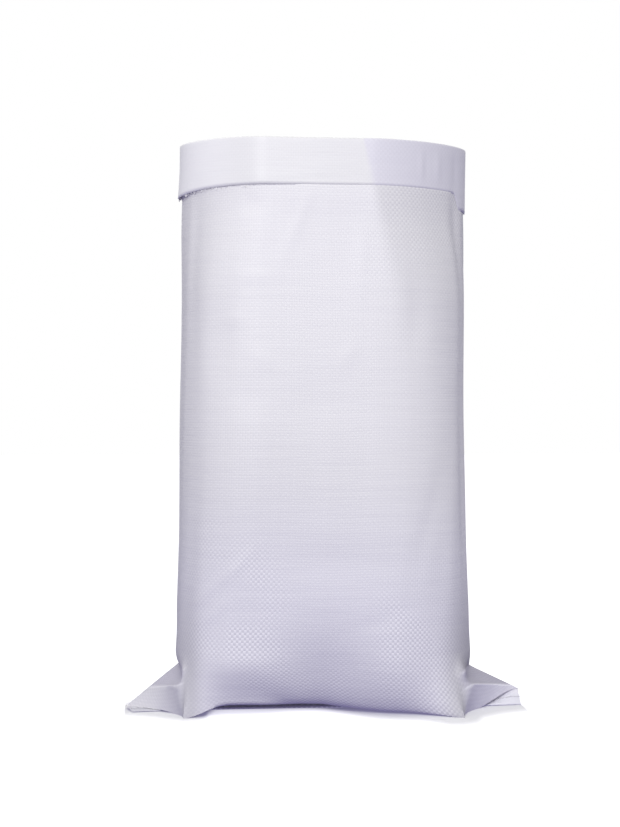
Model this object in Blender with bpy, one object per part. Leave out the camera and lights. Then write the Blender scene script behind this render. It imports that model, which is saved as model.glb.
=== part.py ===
"""Woven polypropylene sack of cement, standing open on its sewn end.

Metres, +Z up. The origin is on the floor under the middle of the sack, the front faces -Y,
and the flat tube's two side creases run up the left (-X) and the right (+X).
"""

import math

import bmesh
import bpy
import numpy as np
from mathutils import Vector

# Woven sack, as it is cut and filled
FLAT_WIDTH = 0.500
STANDING_HEIGHT = 0.708
WALL = 0.001
BODY_WIDTH = 0.360
FOOT_WIDTH = 0.374
FOOT_SPREAD_HEIGHT = 0.110

# Section of the filled body: a flat middle, as half widths at the foot and in the body, between rounded
# ends, as squareness and half depth at the foot, at the belly and at the mouth
FLAT_LEFT = (0.125, 0.080)
FLAT_RIGHT = (0.105, 0.050)
FLAT_FADE = (0.020, 0.360)
SQUARENESS_LEFT = (3.4, 2.2, 1.7)
SQUARENESS_RIGHT = (3.0, 2.2, 1.6)
FOOT_FADE = (0.075, 0.260)
MOUTH_FADE = (0.500, 0.640)
HALF_DEPTH = (0.104, 0.112, 0.104)
BELLY_HEIGHT = 0.340

# Base that the sack stands on
BASE_CORNER_X = 0.172
BASE_CORNER_Y = 0.091
BASE_TURN = math.radians(-5.0)
TURN_HEIGHT = 0.300
BASE_ROUND = 0.032
BASE_ROUND_MORE = 0.018
ROUND_PEAK = 0.27
ROUND_RIGHT = 0.45
ROUND_FALL = (0.75, 0.80)
ROUND_TOP = 0.150
ROUND_DRAW = 0.015
ROUND_POWER = 2.2
ROUND_FRONT = 0.050
BACK_SHARE = 0.7
ARC_PULL = 0.55
RISE_HEIGHT = 0.009
INNER_FLOOR = 0.006
INNER_INSET = 0.008
INNER_POINT = 0.010
SLOPE_STEP = 0.002

# Ears, where the ends of the flat seam stick out past the filled body
EAR_TOP = 0.075
EAR_CREASE_SLOPE = math.radians(27.0)
EAR_CREASE_PULL = 0.030
TIP_FORWARD_LEFT = 0.007
TIP_FORWARD_RIGHT = 0.018
TIP_CURVE = 4
TIP_HEIGHT = 0.004
TIP_HEIGHT_CURVE = 3

# Sewn hem along the bottom edge
HEM_WIDTH = 0.025
HEM_THICKNESS = 0.002
HEM_STEP = 0.020
HEM_RISE_LENGTH = 0.055
HEM_LEAN = math.radians(78.0)

# Mouth, turned outward as a cuff
CUFF_LEFT = 0.066
CUFF_MIDDLE = 0.057
CUFF_RIGHT = 0.080
CUFF_GAP = 0.002
CUFF_FLARE = 0.0015
CUFF_END_SHARPNESS = 3
RIM_TURN = 0.003
RIM_DIP = 0.004
RIM_ROOM = 0.012

# Closing thread and contents
THREAD_DIAMETER = 0.0012
THREAD_FROM_EDGE = 0.012
FILL_EDGE_HEIGHT = 0.590
FILL_CROWN = 0.015
CLEARANCE = 0.00035
THREAD_CLEARANCE = 0.00045
THREAD_ROOM = THREAD_DIAMETER + 2.0 * THREAD_CLEARANCE

# Fineness of the meshes
STEPS_AROUND = 64
ROUND_STEPS = 3
WALL_STEPS = 8
FREE_STEPS = 2
FOOT_STEPS = 7
PANEL_SHARES = (0.5, 0.8)
CROWN_SHARES = (0.0, 0.33, 0.67)
FLOOR_SHARES = (1.0, 0.7, 0.35, 0.0)
SECTION_SAMPLES = 4000
SHARP_ANGLE = math.radians(50.0)
WELD_DISTANCE = 1e-6


def clear_scene():
    for obj in list(bpy.data.objects):
        bpy.data.objects.remove(obj, do_unlink=True)


def material(name, colour, roughness):
    found = bpy.data.materials.new(name)
    found.use_nodes = True
    shader = found.node_tree.nodes["Principled BSDF"]
    shader.inputs["Base Color"].default_value = (*colour, 1.0)
    shader.inputs["Roughness"].default_value = roughness
    shader.inputs["Metallic"].default_value = 0.0
    return found


def smooth_step(value, low, high):
    share = np.clip((value - low) / (high - low), 0.0, 1.0)
    return share * share * (3.0 - 2.0 * share)


def columns():
    """Flat place across the sack of every column, and its side: -1 front, +1 back, 0 on a crease."""
    steps = np.arange(STEPS_AROUND + 1)
    around = steps / STEPS_AROUND
    across = (np.abs(2.0 * np.abs(around - 0.5) - 1.0) - 0.5) * FLAT_WIDTH
    side = np.sign(around - 0.5)
    side[steps % (STEPS_AROUND // 2) == 0] = 0.0
    return across, side


def by_height(height, values):
    """Value at one height, from its values at the foot, at the belly and at the mouth."""
    foot, belly, mouth = values
    risen = belly + (foot - belly) * (1.0 - smooth_step(height, *FOOT_FADE))
    return risen + (mouth - belly) * smooth_step(height, *MOUTH_FADE)


def half_width_at(height):
    spread = math.exp(-(height - EAR_TOP) / FOOT_SPREAD_HEIGHT)
    return (BODY_WIDTH + (FOOT_WIDTH - BODY_WIDTH) * spread) / 2.0


def half_depth_at(height):
    foot, belly, mouth = HALF_DEPTH
    swollen = foot + (belly - foot) * smooth_step(height, EAR_TOP, BELLY_HEIGHT)
    return swollen + (mouth - belly) * smooth_step(height, BELLY_HEIGHT, STANDING_HEIGHT)


def outline(height):
    """Dense outline from the left crease along the front, and its length up to each point."""
    angle = np.linspace(math.pi, -math.pi, SECTION_SAMPLES + 1)
    across, deep = np.cos(angle), np.sin(angle)
    left = across < 0.0
    fade = smooth_step(height, *FLAT_FADE)
    flat_left = FLAT_LEFT[0] + (FLAT_LEFT[1] - FLAT_LEFT[0]) * fade
    flat_right = FLAT_RIGHT[0] + (FLAT_RIGHT[1] - FLAT_RIGHT[0]) * fade
    flat = np.where(left, flat_left, flat_right)
    square = np.where(left, by_height(height, SQUARENESS_LEFT), by_height(height, SQUARENESS_RIGHT))
    reach = np.abs(across) ** (2.0 / square)
    x = np.where(left, -1.0, 1.0) * (flat + (half_width_at(height) - flat) * reach)
    y = -half_depth_at(height) * np.sign(deep) * np.abs(deep) ** (2.0 / square)
    length = np.concatenate([[0.0], np.cumsum(np.hypot(np.diff(x), np.diff(y)))])
    return x, y, length


def round_share(x):
    """Rounding of the base: none at its corners, most left of the middle, less to the right."""
    share = np.clip((x + BASE_CORNER_X) / (2.0 * BASE_CORNER_X), 0.0, 1.0)
    less_right, none_right = ROUND_FALL
    left = smooth_step(share, 0.0, ROUND_PEAK)
    right = 1.0 - smooth_step(share, none_right, 1.0)
    return left * right * (1.0 - (1.0 - ROUND_RIGHT) * smooth_step(share, ROUND_PEAK, less_right))


def draw_in(ring, height):
    """How far the low wall is drawn in toward the rounded base."""
    drawn = max(0.0, (ROUND_TOP - height) / (ROUND_TOP - EAR_TOP)) ** ROUND_POWER
    front = smooth_step(-ring[:, 1], 0.0, ROUND_FRONT) * round_share(ring[:, 0])
    back = smooth_step(ring[:, 1], 0.0, ROUND_FRONT) * round_share(-ring[:, 0])
    return ROUND_DRAW * drawn * (front + BACK_SHARE * back)


def outward_of(ring):
    """Level outward direction of every point of a ring."""
    loop = ring[:-1]
    ahead = np.roll(loop, -1, axis=0) - np.roll(loop, 1, axis=0)
    direction = np.stack([ahead[:, 1], -ahead[:, 0], np.zeros(len(loop))], axis=1)
    direction /= np.linalg.norm(direction, axis=1, keepdims=True)
    return np.concatenate([direction, direction[:1]])


def section(height, outward=0.0):
    """Ring of points round the body at one height, moved outward from the outer face of the wall."""
    x, y, length = outline(height)
    at = np.arange(STEPS_AROUND + 1) / STEPS_AROUND * length[-1]
    x, y = np.interp(at, length, x), np.interp(at, length, y)
    turn = BASE_TURN * (1.0 - smooth_step(height, EAR_TOP, EAR_TOP + TURN_HEIGHT))
    ring = np.zeros((STEPS_AROUND + 1, 3))
    ring[:, 0] = x * math.cos(turn) - y * math.sin(turn)
    ring[:, 1] = x * math.sin(turn) + y * math.cos(turn)
    ring[:, 2] = height
    return ring + outward_of(ring) * (outward - draw_in(ring, height))[:, None]


def slope_above_ears():
    """How the body's ring moves with height where the foot runs into it."""
    return (section(EAR_TOP + SLOPE_STEP) - section(EAR_TOP)) / SLOPE_STEP


def rise(points):
    """How far the fabric stands off the floor behind the middle of the front edge."""
    return RISE_HEIGHT * round_share(points[:, 0]) * smooth_step(-points[:, 1], 0.0, HEM_WIDTH)


def base_inset(across, side):
    """How far the floor edge lies behind the straight lines between the corners of the base."""
    along = np.clip(np.abs(across) / BASE_CORNER_X, 0.0, 1.0)
    more = np.where(side < 0.0, round_share(across), BACK_SHARE * round_share(-across))
    return BASE_ROUND * (1.0 - along**TIP_CURVE) + BASE_ROUND_MORE * more


def turned(x, y):
    return (
        x * math.cos(BASE_TURN) - y * math.sin(BASE_TURN),
        x * math.sin(BASE_TURN) + y * math.cos(BASE_TURN),
    )


def hem_lean(across):
    """Angle of the hem band: flat on the floor under the sack, standing up at the right tip."""
    tip = FLAT_WIDTH / 2.0
    return HEM_LEAN * smooth_step(across, tip - HEM_RISE_LENGTH, tip)


def seam_rise(across):
    return HEM_WIDTH * np.sin(hem_lean(across))


def seam_line(across):
    """Root of the hem band, where the two walls of the tube meet."""
    forward = np.where(across < 0.0, TIP_FORWARD_LEFT, TIP_FORWARD_RIGHT)
    root = np.zeros((len(across), 3))
    root[:, 0] = across
    root[:, 1] = -forward * (2.0 * across / FLAT_WIDTH) ** TIP_CURVE
    root[:, 2] = HEM_THICKNESS / 2.0 + seam_rise(across)
    return root


def hem_ring(across, side, from_root, thickness):
    """Both faces of the hem band, a given way down from its root."""
    lean = hem_lean(across)
    ring = seam_line(across)
    ring[:, 1] -= from_root * np.cos(lean) + side * -0.5 * thickness * np.sin(lean)
    ring[:, 2] -= from_root * np.sin(lean) + side * 0.5 * thickness * np.cos(lean)
    return ring


def height_over_hem(places, root):
    """Height of the front wall where it lies over the hem and its thread, and down to the floor."""
    forward = np.abs(places[:, 1] - root[:, 1])
    return (HEM_THICKNESS + THREAD_ROOM) * (1.0 - smooth_step(forward, HEM_WIDTH, HEM_WIDTH + HEM_STEP))


def footprint(across, side):
    """Where each column of the fabric leaves the floor, and the pull that it leaves with."""
    root = seam_line(across)
    ear_length = (FLAT_WIDTH - 2.0 * BASE_CORNER_X) / 2.0
    from_tip = FLAT_WIDTH / 2.0 - np.abs(across)
    ear = np.clip(1.0 - from_tip / ear_length, 0.0, 1.0)
    end = np.sign(across)
    corner_x, corner_y = turned(end * BASE_CORNER_X, side * BASE_CORNER_Y)
    inset = base_inset(across, side)
    edge = np.zeros((len(across), 3))
    flat_x = np.clip(across, -BASE_CORNER_X, BASE_CORNER_X)
    edge[:, 0], edge[:, 1] = turned(flat_x, side * (BASE_CORNER_Y - inset))
    in_ear = ear > 0.0
    edge[in_ear, 0] = (ear * root[:, 0] + (1.0 - ear) * corner_x)[in_ear]
    edge[in_ear, 1] = (ear * root[:, 1] + (1.0 - ear) * corner_y)[in_ear]
    front_under = height_over_hem(edge, root) + rise(edge)
    edge[:, 2] = seam_rise(across) + np.where(side > 0.0, TIP_HEIGHT * ear**TIP_HEIGHT_CURVE, front_under)
    pull = np.zeros((len(across), 3))
    pull[:, 1] = side * inset * ARC_PULL
    pull[:, 0] = -end * ear * EAR_CREASE_PULL * math.cos(EAR_CREASE_SLOPE)
    pull[:, 2] = ear * EAR_CREASE_PULL * math.sin(EAR_CREASE_SLOPE)
    return edge, pull


def curve_up(edge, pull, ring):
    """Rings on the way from the floor edge up to a ring of the body."""
    below = ring - slope_above_ears() * EAR_TOP / 2.0
    rings = []
    for step in range(1, FOOT_STEPS):
        t = step / FOOT_STEPS
        rings.append(
            (1.0 - t) ** 3 * edge
            + 3.0 * (1.0 - t) ** 2 * t * (edge + pull)
            + 3.0 * (1.0 - t) * t**2 * below
            + t**3 * ring
        )
    return rings


def outer_foot():
    """Rings from the free edge of the hem, under the sack and round its ears, up to the body."""
    across, side = columns()
    edge, pull = footprint(across, side)
    root = hem_ring(across, side, 0.0, HEM_THICKNESS)
    folded = root.copy()
    folded[:, 2] += np.where(side < 0.0, THREAD_ROOM * np.cos(hem_lean(across)), 0.0)
    panels = []
    for reach, most in zip((HEM_WIDTH, HEM_WIDTH + HEM_STEP), PANEL_SHARES, strict=True):
        distance = np.maximum(np.abs(edge[:, 1] - root[:, 1]), CLEARANCE)
        share = np.minimum(reach / distance, most)
        panel = folded + (edge - folded) * share[:, None]
        over = seam_rise(across) + height_over_hem(panel, root) + rise(panel)
        panel[:, 2] = np.where(side < 0.0, over, panel[:, 2])
        panels.append(panel)
    rings = [
        hem_ring(across, side, HEM_WIDTH, 0.0),
        hem_ring(across, side, HEM_WIDTH - HEM_THICKNESS / 2.0, HEM_THICKNESS),
        hem_ring(across, side, HEM_WIDTH - THREAD_FROM_EDGE, HEM_THICKNESS),
        root,
        folded,
        *panels,
        edge,
    ]
    return rings + curve_up(edge, pull, section(EAR_TOP))


def wall_heights():
    """Heights of the rings from the ears up to the rim, one of them at the edge of the fill."""
    low = np.linspace(EAR_TOP, ROUND_TOP, ROUND_STEPS + 1)
    filled = np.linspace(ROUND_TOP, FILL_EDGE_HEIGHT, WALL_STEPS)
    free = np.linspace(FILL_EDGE_HEIGHT, STANDING_HEIGHT - RIM_ROOM, FREE_STEPS + 1)
    return [*low, *filled[1:], *free[1:]]


def cuff_length():
    """How far the cuff hangs below the rim at each column."""
    across, _ = columns()
    share = np.abs(2.0 * across / FLAT_WIDTH)
    ends = np.where(across < 0.0, CUFF_LEFT, CUFF_RIGHT)
    return CUFF_MIDDLE + (ends - CUFF_MIDDLE) * share**CUFF_END_SHARPNESS


def rim_rings():
    """Rings over the turned rim: in under the fold, down and up the cuff, and down inside."""
    gap = CUFF_GAP
    outside = gap + WALL
    profile = (
        (0.0, RIM_TURN),
        (0.25 * gap, 1.5 * WALL),
        (0.75 * gap, 1.5 * WALL),
        (gap, RIM_TURN),
        (gap + CUFF_FLARE, cuff_length()),
        (outside + CUFF_FLARE, cuff_length()),
        (outside, RIM_TURN),
        (outside - 0.3 * WALL, 0.7 * WALL),
        (outside / 2.0, 0.0),
        (0.0, 0.2 * WALL),
        (-0.7 * WALL, 0.9 * WALL),
        (-WALL, RIM_TURN),
    )
    across, side = columns()
    dip = RIM_DIP * np.where(side < 0.0, 1.0 - (2.0 * across / FLAT_WIDTH) ** 2, 0.0)
    rings = []
    for outward, below in profile:
        ring = section(STANDING_HEIGHT, outward)
        ring[:, 2] -= below + dip
        rings.append(ring)
    return rings


def cavity_foot(inset):
    """Rings round the inside, clear of the ears, from the body down to a line along the inner floor."""
    across, side = columns()
    from_outside = INNER_INSET + inset
    corner_x, corner_y = BASE_CORNER_X - from_outside, BASE_CORNER_Y - from_outside
    ear = np.clip((np.abs(across) - corner_x) / (FLAT_WIDTH / 2.0 - corner_x), 0.0, 1.0)
    round_in = base_inset(across, side) * (1.0 - ear)
    edge_x = np.clip(across, -corner_x, corner_x) + np.sign(across) * INNER_POINT * ear
    edge_y = side * (corner_y * (1.0 - ear) - round_in)
    floor = []
    for share in FLOOR_SHARES:
        ring = np.zeros((len(across), 3))
        ring[:, 0], ring[:, 1] = turned(edge_x, edge_y * share)
        ring[:, 2] = INNER_FLOOR + inset - WALL + rise(ring)
        floor.append(ring)
    pull = np.zeros((len(across), 3))
    pull[:, 1] = side * round_in * ARC_PULL
    return [*reversed(curve_up(floor[0], pull, section(EAR_TOP, -inset))), *floor]


def loft(name, rings, down_from, finish, collection):
    """One closed skin through the rings; rings folded flat, or drawn to a point, close the ends.

    Rows from down_from on run downward. Their quads are split the other way, so that both faces
    of the wall have the same diagonals.
    """
    mesh = bpy.data.meshes.new(name)
    skin = bmesh.new()
    bmesh.ops.create_grid(skin, x_segments=STEPS_AROUND, y_segments=len(rings) - 1, size=1.0)
    skin.verts.ensure_lookup_table()
    runs_down = skin.faces.layers.int.new("runs_down")
    for face in skin.faces:
        row = min(vertex.index for vertex in face.verts) // (STEPS_AROUND + 1)
        face[runs_down] = int(row >= down_from)
    places = np.concatenate(rings)
    for vertex, place in zip(skin.verts, places, strict=True):
        vertex.co = Vector(place)
    bmesh.ops.remove_doubles(skin, verts=skin.verts, dist=WELD_DISTANCE)
    bmesh.ops.dissolve_degenerate(skin, edges=skin.edges, dist=WELD_DISTANCE)
    down = [face for face in skin.faces if face[runs_down]]
    bmesh.ops.triangulate(skin, faces=down, quad_method="ALTERNATE")
    bmesh.ops.triangulate(skin, faces=skin.faces, quad_method="FIXED")
    skin.faces.layers.int.remove(runs_down)
    bmesh.ops.recalc_face_normals(skin, faces=skin.faces)
    skin.to_mesh(mesh)
    skin.free()
    mesh.materials.append(finish)
    mesh.shade_smooth()
    mesh.set_sharp_from_angle(angle=SHARP_ANGLE)
    obj = bpy.data.objects.new(name, mesh)
    collection.objects.link(obj)
    return obj


def woven_sack(collection):
    rings = outer_foot()
    rings += [section(height) for height in wall_heights()]
    rings += rim_rings()
    inside_from = len(rings)
    rings += [section(height, -WALL) for height in reversed(wall_heights())]
    rings += cavity_foot(WALL)
    loft("woven_sack", rings, inside_from, material("sack_weave", (0.82, 0.80, 0.86), 0.45), collection)


def cement_fill(collection):
    inset = WALL + CLEARANCE
    rings = []
    for share in CROWN_SHARES:
        ring = section(FILL_EDGE_HEIGHT, -inset) * np.array([share, share, 1.0])
        ring[:, 2] += FILL_CROWN * (1.0 - share**2)
        rings.append(ring)
    filled = [height for height in wall_heights() if height <= FILL_EDGE_HEIGHT]
    rings += [section(height, -inset) for height in reversed(filled)]
    rings += cavity_foot(inset)
    loft("cement_fill", rings, 0, material("cement", (0.33, 0.33, 0.32), 0.95), collection)


def closing_thread(collection):
    """Chain stitch thread laid along the hem, on the side that faces up or forward."""
    across = columns()[0][: STEPS_AROUND // 2 + 1]
    front = -np.ones(len(across))
    places = hem_ring(across, front, HEM_WIDTH - THREAD_FROM_EDGE, HEM_THICKNESS + THREAD_ROOM)
    curve = bpy.data.curves.new("closing_thread", "CURVE")
    curve.dimensions = "3D"
    curve.bevel_depth = THREAD_DIAMETER / 2.0
    curve.bevel_resolution = 1
    curve.use_fill_caps = True
    spline = curve.splines.new("POLY")
    spline.points.add(len(places) - 1)
    for point, place in zip(spline.points, places, strict=True):
        point.co = (*place, 1.0)
    curve.materials.append(material("thread", (0.86, 0.85, 0.88), 0.6))
    collection.objects.link(bpy.data.objects.new("closing_thread", curve))


def main():
    clear_scene()
    collection = bpy.data.collections.new("cement_bag")
    bpy.context.scene.collection.children.link(collection)
    woven_sack(collection)
    cement_fill(collection)
    closing_thread(collection)


main()
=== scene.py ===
"""Cement bag: a white woven polypropylene sack, standing full with its mouth turned out as a cuff.

Metres, +Z up. The front of the sack faces -Y. One column of the sack's fabric runs from the sewn hem under
the sack, out to the floor edge, up the body, over the rim and down the cuff. The first column is the left
side crease. A quarter of the way round is the middle of the front, and half way is the right side crease.
"""

import math

import bmesh
import bpy
import numpy as np
from bpy.props import FloatProperty, FloatVectorProperty, IntProperty, PointerProperty
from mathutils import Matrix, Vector, noise


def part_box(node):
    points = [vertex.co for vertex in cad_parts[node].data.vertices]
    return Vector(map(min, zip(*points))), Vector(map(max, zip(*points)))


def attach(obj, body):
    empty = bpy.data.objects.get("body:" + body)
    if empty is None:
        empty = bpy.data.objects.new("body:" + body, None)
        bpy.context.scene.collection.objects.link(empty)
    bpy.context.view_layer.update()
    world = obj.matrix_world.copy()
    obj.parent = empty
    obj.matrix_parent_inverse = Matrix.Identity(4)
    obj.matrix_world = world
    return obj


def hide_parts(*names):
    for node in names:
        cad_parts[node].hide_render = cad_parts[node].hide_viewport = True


bl_info = {
    "name": "Cement Bag",
    "version": (1, 0, 0),
    "blender": (4, 5, 0),
    "location": "3D View > Sidebar > Cement Bag",
    "description": "Builds a filled woven sack with its hem, stitches, cuff and cement",
    "category": "Add Mesh",
}

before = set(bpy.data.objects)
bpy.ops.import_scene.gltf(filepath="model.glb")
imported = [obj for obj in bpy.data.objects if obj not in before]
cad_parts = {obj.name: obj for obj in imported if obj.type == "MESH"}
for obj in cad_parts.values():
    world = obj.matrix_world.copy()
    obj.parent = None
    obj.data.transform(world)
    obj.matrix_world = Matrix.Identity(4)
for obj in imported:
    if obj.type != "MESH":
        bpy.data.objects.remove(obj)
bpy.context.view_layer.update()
SACK_LOW, SACK_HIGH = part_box("woven_sack")


# Properties


class SackProperties(bpy.types.PropertyGroup):
    """Sizes of the woven sack as it stands."""

    flat_width: FloatProperty(
        name="Flat Width",
        description="Width of the empty tube laid flat",
        default=SACK_HIGH[0] - SACK_LOW[0],
        unit="LENGTH",
    )
    height: FloatProperty(
        name="Height",
        description="Height of the turned rim above the floor",
        default=SACK_HIGH[2],
        unit="LENGTH",
    )
    body_width: FloatProperty(
        name="Body Width", description="Width of the body", default=0.360, unit="LENGTH"
    )
    foot_width: FloatProperty(
        name="Foot Width", description="Width just above the ears", default=0.374, unit="LENGTH"
    )
    foot_spread: FloatProperty(
        name="Foot Spread", description="Height over which the foot narrows", default=0.110, unit="LENGTH"
    )
    corner_x: FloatProperty(
        name="Base Corner X", description="Half width of the base", default=0.172, unit="LENGTH"
    )
    corner_y: FloatProperty(
        name="Base Corner Y", description="Half depth of the base", default=0.091, unit="LENGTH"
    )
    base_turn: FloatProperty(
        name="Base Turn",
        description="Turn of the base under the body",
        default=math.radians(-5.0),
        unit="ROTATION",
    )
    ear_top: FloatProperty(
        name="Ear Top", description="Height above which the body is plain", default=0.075, unit="LENGTH"
    )
    hem_width: FloatProperty(
        name="Hem Width", description="Width of the sewn hem band", default=0.025, unit="LENGTH"
    )
    hem_thickness: FloatProperty(
        name="Hem Thickness", description="Thickness of the folded hem", default=0.002, unit="LENGTH"
    )
    fabric_thickness: FloatProperty(
        name="Fabric Thickness", description="Thickness of the woven fabric", default=0.0006, unit="LENGTH"
    )
    columns: IntProperty(name="Columns", description="Columns of faces round the tube", default=256)


class ClothProperties(bpy.types.PropertyGroup):
    """Weave and colours of the sack's fabric."""

    tape_width: FloatProperty(
        name="Tape Width", description="Width of one woven tape", default=0.003175, unit="LENGTH"
    )
    # Warp and weft are one white tape: their two colours are a painted sheen, the warp lit and the weft
    # shaded
    warp_sheen_colour: FloatVectorProperty(
        name="Warp Colour",
        description="Colour of the upright tapes",
        subtype="COLOR",
        default=(0.905, 0.895, 0.885),
    )
    weft_sheen_colour: FloatVectorProperty(
        name="Weft Colour",
        description="Colour of the level tapes",
        subtype="COLOR",
        default=(0.71, 0.70, 0.715),
    )
    hem_colour: FloatVectorProperty(
        name="Hem Colour",
        description="Colour of the folded hem",
        subtype="COLOR",
        default=(0.77, 0.77, 0.78),
    )
    film_colour: FloatVectorProperty(
        name="Film Colour",
        description="Colour of the coated inside",
        subtype="COLOR",
        default=(0.785, 0.78, 0.770),
    )
    # Painted shade colour of the inside, right of the slanted line on the front
    painted_shade_film_colour: FloatVectorProperty(
        name="Grey Film Colour",
        description="Colour of the inside where the cuff turns greyer",
        subtype="COLOR",
        default=(0.735, 0.722, 0.765),
    )


class FillProperties(bpy.types.PropertyGroup):
    """Look of the cement."""

    dry_colour: FloatVectorProperty(
        name="Dry Colour",
        description="Colour of the loose powder",
        subtype="COLOR",
        default=(0.36, 0.36, 0.35),
    )
    lump_colour: FloatVectorProperty(
        name="Lump Colour",
        description="Colour of the denser lumps",
        subtype="COLOR",
        default=(0.25, 0.25, 0.245),
    )


class StageProperties(bpy.types.PropertyGroup):
    """Camera and light."""

    camera_distance: FloatProperty(
        name="Camera Distance", description="From the camera to the sack", default=2.0, unit="LENGTH"
    )
    camera_height: FloatProperty(
        name="Camera Height", description="Height of the level camera", default=0.371, unit="LENGTH"
    )
    camera_turn: FloatProperty(
        name="Camera Turn",
        description="Turn of the camera to the left",
        default=math.radians(5.5),
        unit="ROTATION",
    )
    camera_aside: FloatProperty(
        name="Camera Aside", description="Shift of the camera to its left", default=0.0166, unit="LENGTH"
    )
    lens: FloatProperty(name="Lens", description="Focal length in millimetres", default=68.25)
    key_place: FloatVectorProperty(
        name="Key Place",
        description="Where the soft key light hangs",
        default=(-0.40, -2.3, 1.4),
        unit="LENGTH",
    )
    key_size: FloatProperty(
        name="Key Size", description="Side of the key light", default=1.1, unit="LENGTH"
    )
    key_power: FloatProperty(name="Key Power", description="Power of the key light in watts", default=41.5)
    above: FloatVectorProperty(
        name="Light Above",
        description="Light from the room in front of the sack",
        subtype="COLOR",
        default=(0.475, 0.475, 0.495),
    )
    behind: FloatVectorProperty(
        name="Light Behind",
        description="Light from the white backdrop",
        subtype="COLOR",
        default=(0.70, 0.70, 0.73),
    )
    below: FloatVectorProperty(
        name="Light Below",
        description="Light from under the horizon",
        subtype="COLOR",
        default=(0.20, 0.18, 0.36),
    )
    floor_glow: FloatProperty(
        name="Floor Glow", description="Light that the lit floor gives off", default=0.60
    )
    near_glow: FloatProperty(name="Near Glow", description="The same close to the sack", default=0.04)


# Shape of the sack


def smooth_step(value, low, high):
    share = np.clip((value - low) / (high - low), 0.0, 1.0)
    return share * share * (3.0 - 2.0 * share)


def tube_columns(sack):
    """Flat place across the sack of every column, and its side: -1 front, +1 back, 0 on a crease."""
    steps = np.arange(sack.columns + 1)
    around = steps / sack.columns
    across = (np.abs(2.0 * np.abs(around - 0.5) - 1.0) - 0.5) * sack.flat_width
    side = np.sign(around - 0.5)
    side[steps % (sack.columns // 2) == 0] = 0.0
    return across, side


def turned(x, y, angle):
    return x * math.cos(angle) - y * math.sin(angle), x * math.sin(angle) + y * math.cos(angle)


# Section: how far the plain front reaches left and right, low and high, and how square the ends are
SECTION_SAMPLES = 1600
FLAT_LOW = (0.100, 0.068)
FLAT_HIGH = (0.080, 0.050)
FLAT_FADE = (0.02, 0.25)
END_SQUARE_FOOT = (2.3, 2.1)
END_SQUARE = (2.2, 2.2)
END_SQUARE_MOUTH = (1.7, 1.6)
FOOT_FADE = (0.060, 0.200)
MOUTH_FADE = (0.500, 0.640)
HALF_DEPTH = (0.104, 0.112, 0.104)
DEPTH_HEIGHTS = (0.075, 0.34, 0.708)
TURN_HEIGHT = 0.300
SECTION_STEP = 0.002
# How the front and the back fade into each other, from the middle of the depth
FRONT_FADE = (0.0, 0.05)
BACK_FADE = (-0.02, 0.05)


def outline(half_width, half_depth, flat_left, flat_right, square_left, square_right):
    """Dense outlines from the left crease along the front, and their lengths up to each point."""
    angle = np.linspace(math.pi, -math.pi, SECTION_SAMPLES)[None, :]
    across, deep = np.cos(angle), np.sin(angle)
    power = 2.0 / np.where(across < 0.0, square_left[:, None], square_right[:, None])
    reach = np.abs(across) ** power
    left = -flat_left[:, None] - (half_width - flat_left)[:, None] * reach
    right = flat_right[:, None] + (half_width - flat_right)[:, None] * reach
    x = np.where(across < 0.0, left, right)
    y = -half_depth[:, None] * np.sign(deep) * np.abs(deep) ** power
    steps = np.hypot(np.diff(x, axis=1), np.diff(y, axis=1))
    length = np.concatenate([np.zeros((len(x), 1)), np.cumsum(steps, axis=1)], axis=1)
    return x, y, length


# Folds on the front: place across, height, half length, half width, lean in degrees, and how far out
FRONT_FOLDS = (
    (-0.134, 0.462, 0.055, 0.022, 90.0, -0.0024),
    (0.102, 0.483, 0.040, 0.016, 90.0, -0.0020),
    (-0.095, 0.623, 0.014, 0.014, 0.0, -0.0012),
    (-0.019, 0.387, 0.050, 0.030, 0.0, -0.0012),
    (-0.103, 0.393, 0.024, 0.022, 0.0, -0.0012),
    (0.000, 0.193, 0.080, 0.022, 0.0, -0.0014),
    (-0.115, 0.185, 0.022, 0.0055, 45.0, 0.0011),
    (-0.149, 0.154, 0.020, 0.0055, 50.0, 0.0010),
    (-0.140, 0.130, 0.018, 0.0055, 40.0, 0.0009),
    (-0.095, 0.536, 0.022, 0.007, 0.0, 0.0009),
    (-0.119, 0.484, 0.012, 0.009, 20.0, 0.0009),
    (-0.083, 0.435, 0.016, 0.009, -30.0, 0.0008),
    (0.036, 0.556, 0.045, 0.009, 90.0, 0.0010),
    (0.018, 0.441, 0.018, 0.010, 60.0, 0.0008),
    (-0.043, 0.598, 0.042, 0.007, 68.0, 0.0008),
    (0.120, 0.240, 0.060, 0.012, 75.0, -0.0012),
    (0.060, 0.120, 0.040, 0.010, 20.0, -0.0008),
)
# Upright folds beside the side creases: which crease, way round from it, half width, how far out, and sway
SIDE_FOLDS = (
    ("left", 0.036, 0.009, 0.0011, 0.006),
    ("left", 0.062, 0.014, -0.0012, 0.010),
    ("left", 0.092, 0.018, 0.0010, 0.008),
    ("right", 0.024, 0.008, 0.0013, 0.004),
    ("right", 0.046, 0.012, -0.0026, 0.007),
    ("right", 0.070, 0.013, 0.0012, 0.009),
)
SIDE_FOLD_WAVES = 8.0
SIDE_FOLD_PHASE = 90.0
SIDE_FOLD_FADES = (0.06, 0.12, 0.02)
# Their strength comes and goes along them: how much, how often and from where
SWELL_SHARE = 0.35
SWELL_WAVES = 2.3
SWELL_PHASE = 60.0
CREASE_RIDGE = 0.0016
CREASE_REACH = 0.007
# Sides: drawn in under the cuff at the left, and half way up at the right
NECK_DRAW = 0.0019
NECK_FADE = (0.300, 0.560)
NECK_EDGE = 0.011
WAIST_DRAW = 0.0020
WAIST_HEIGHT = 0.390
WAIST_SPREAD = 0.090
SIDE_REACH = 0.030
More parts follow.
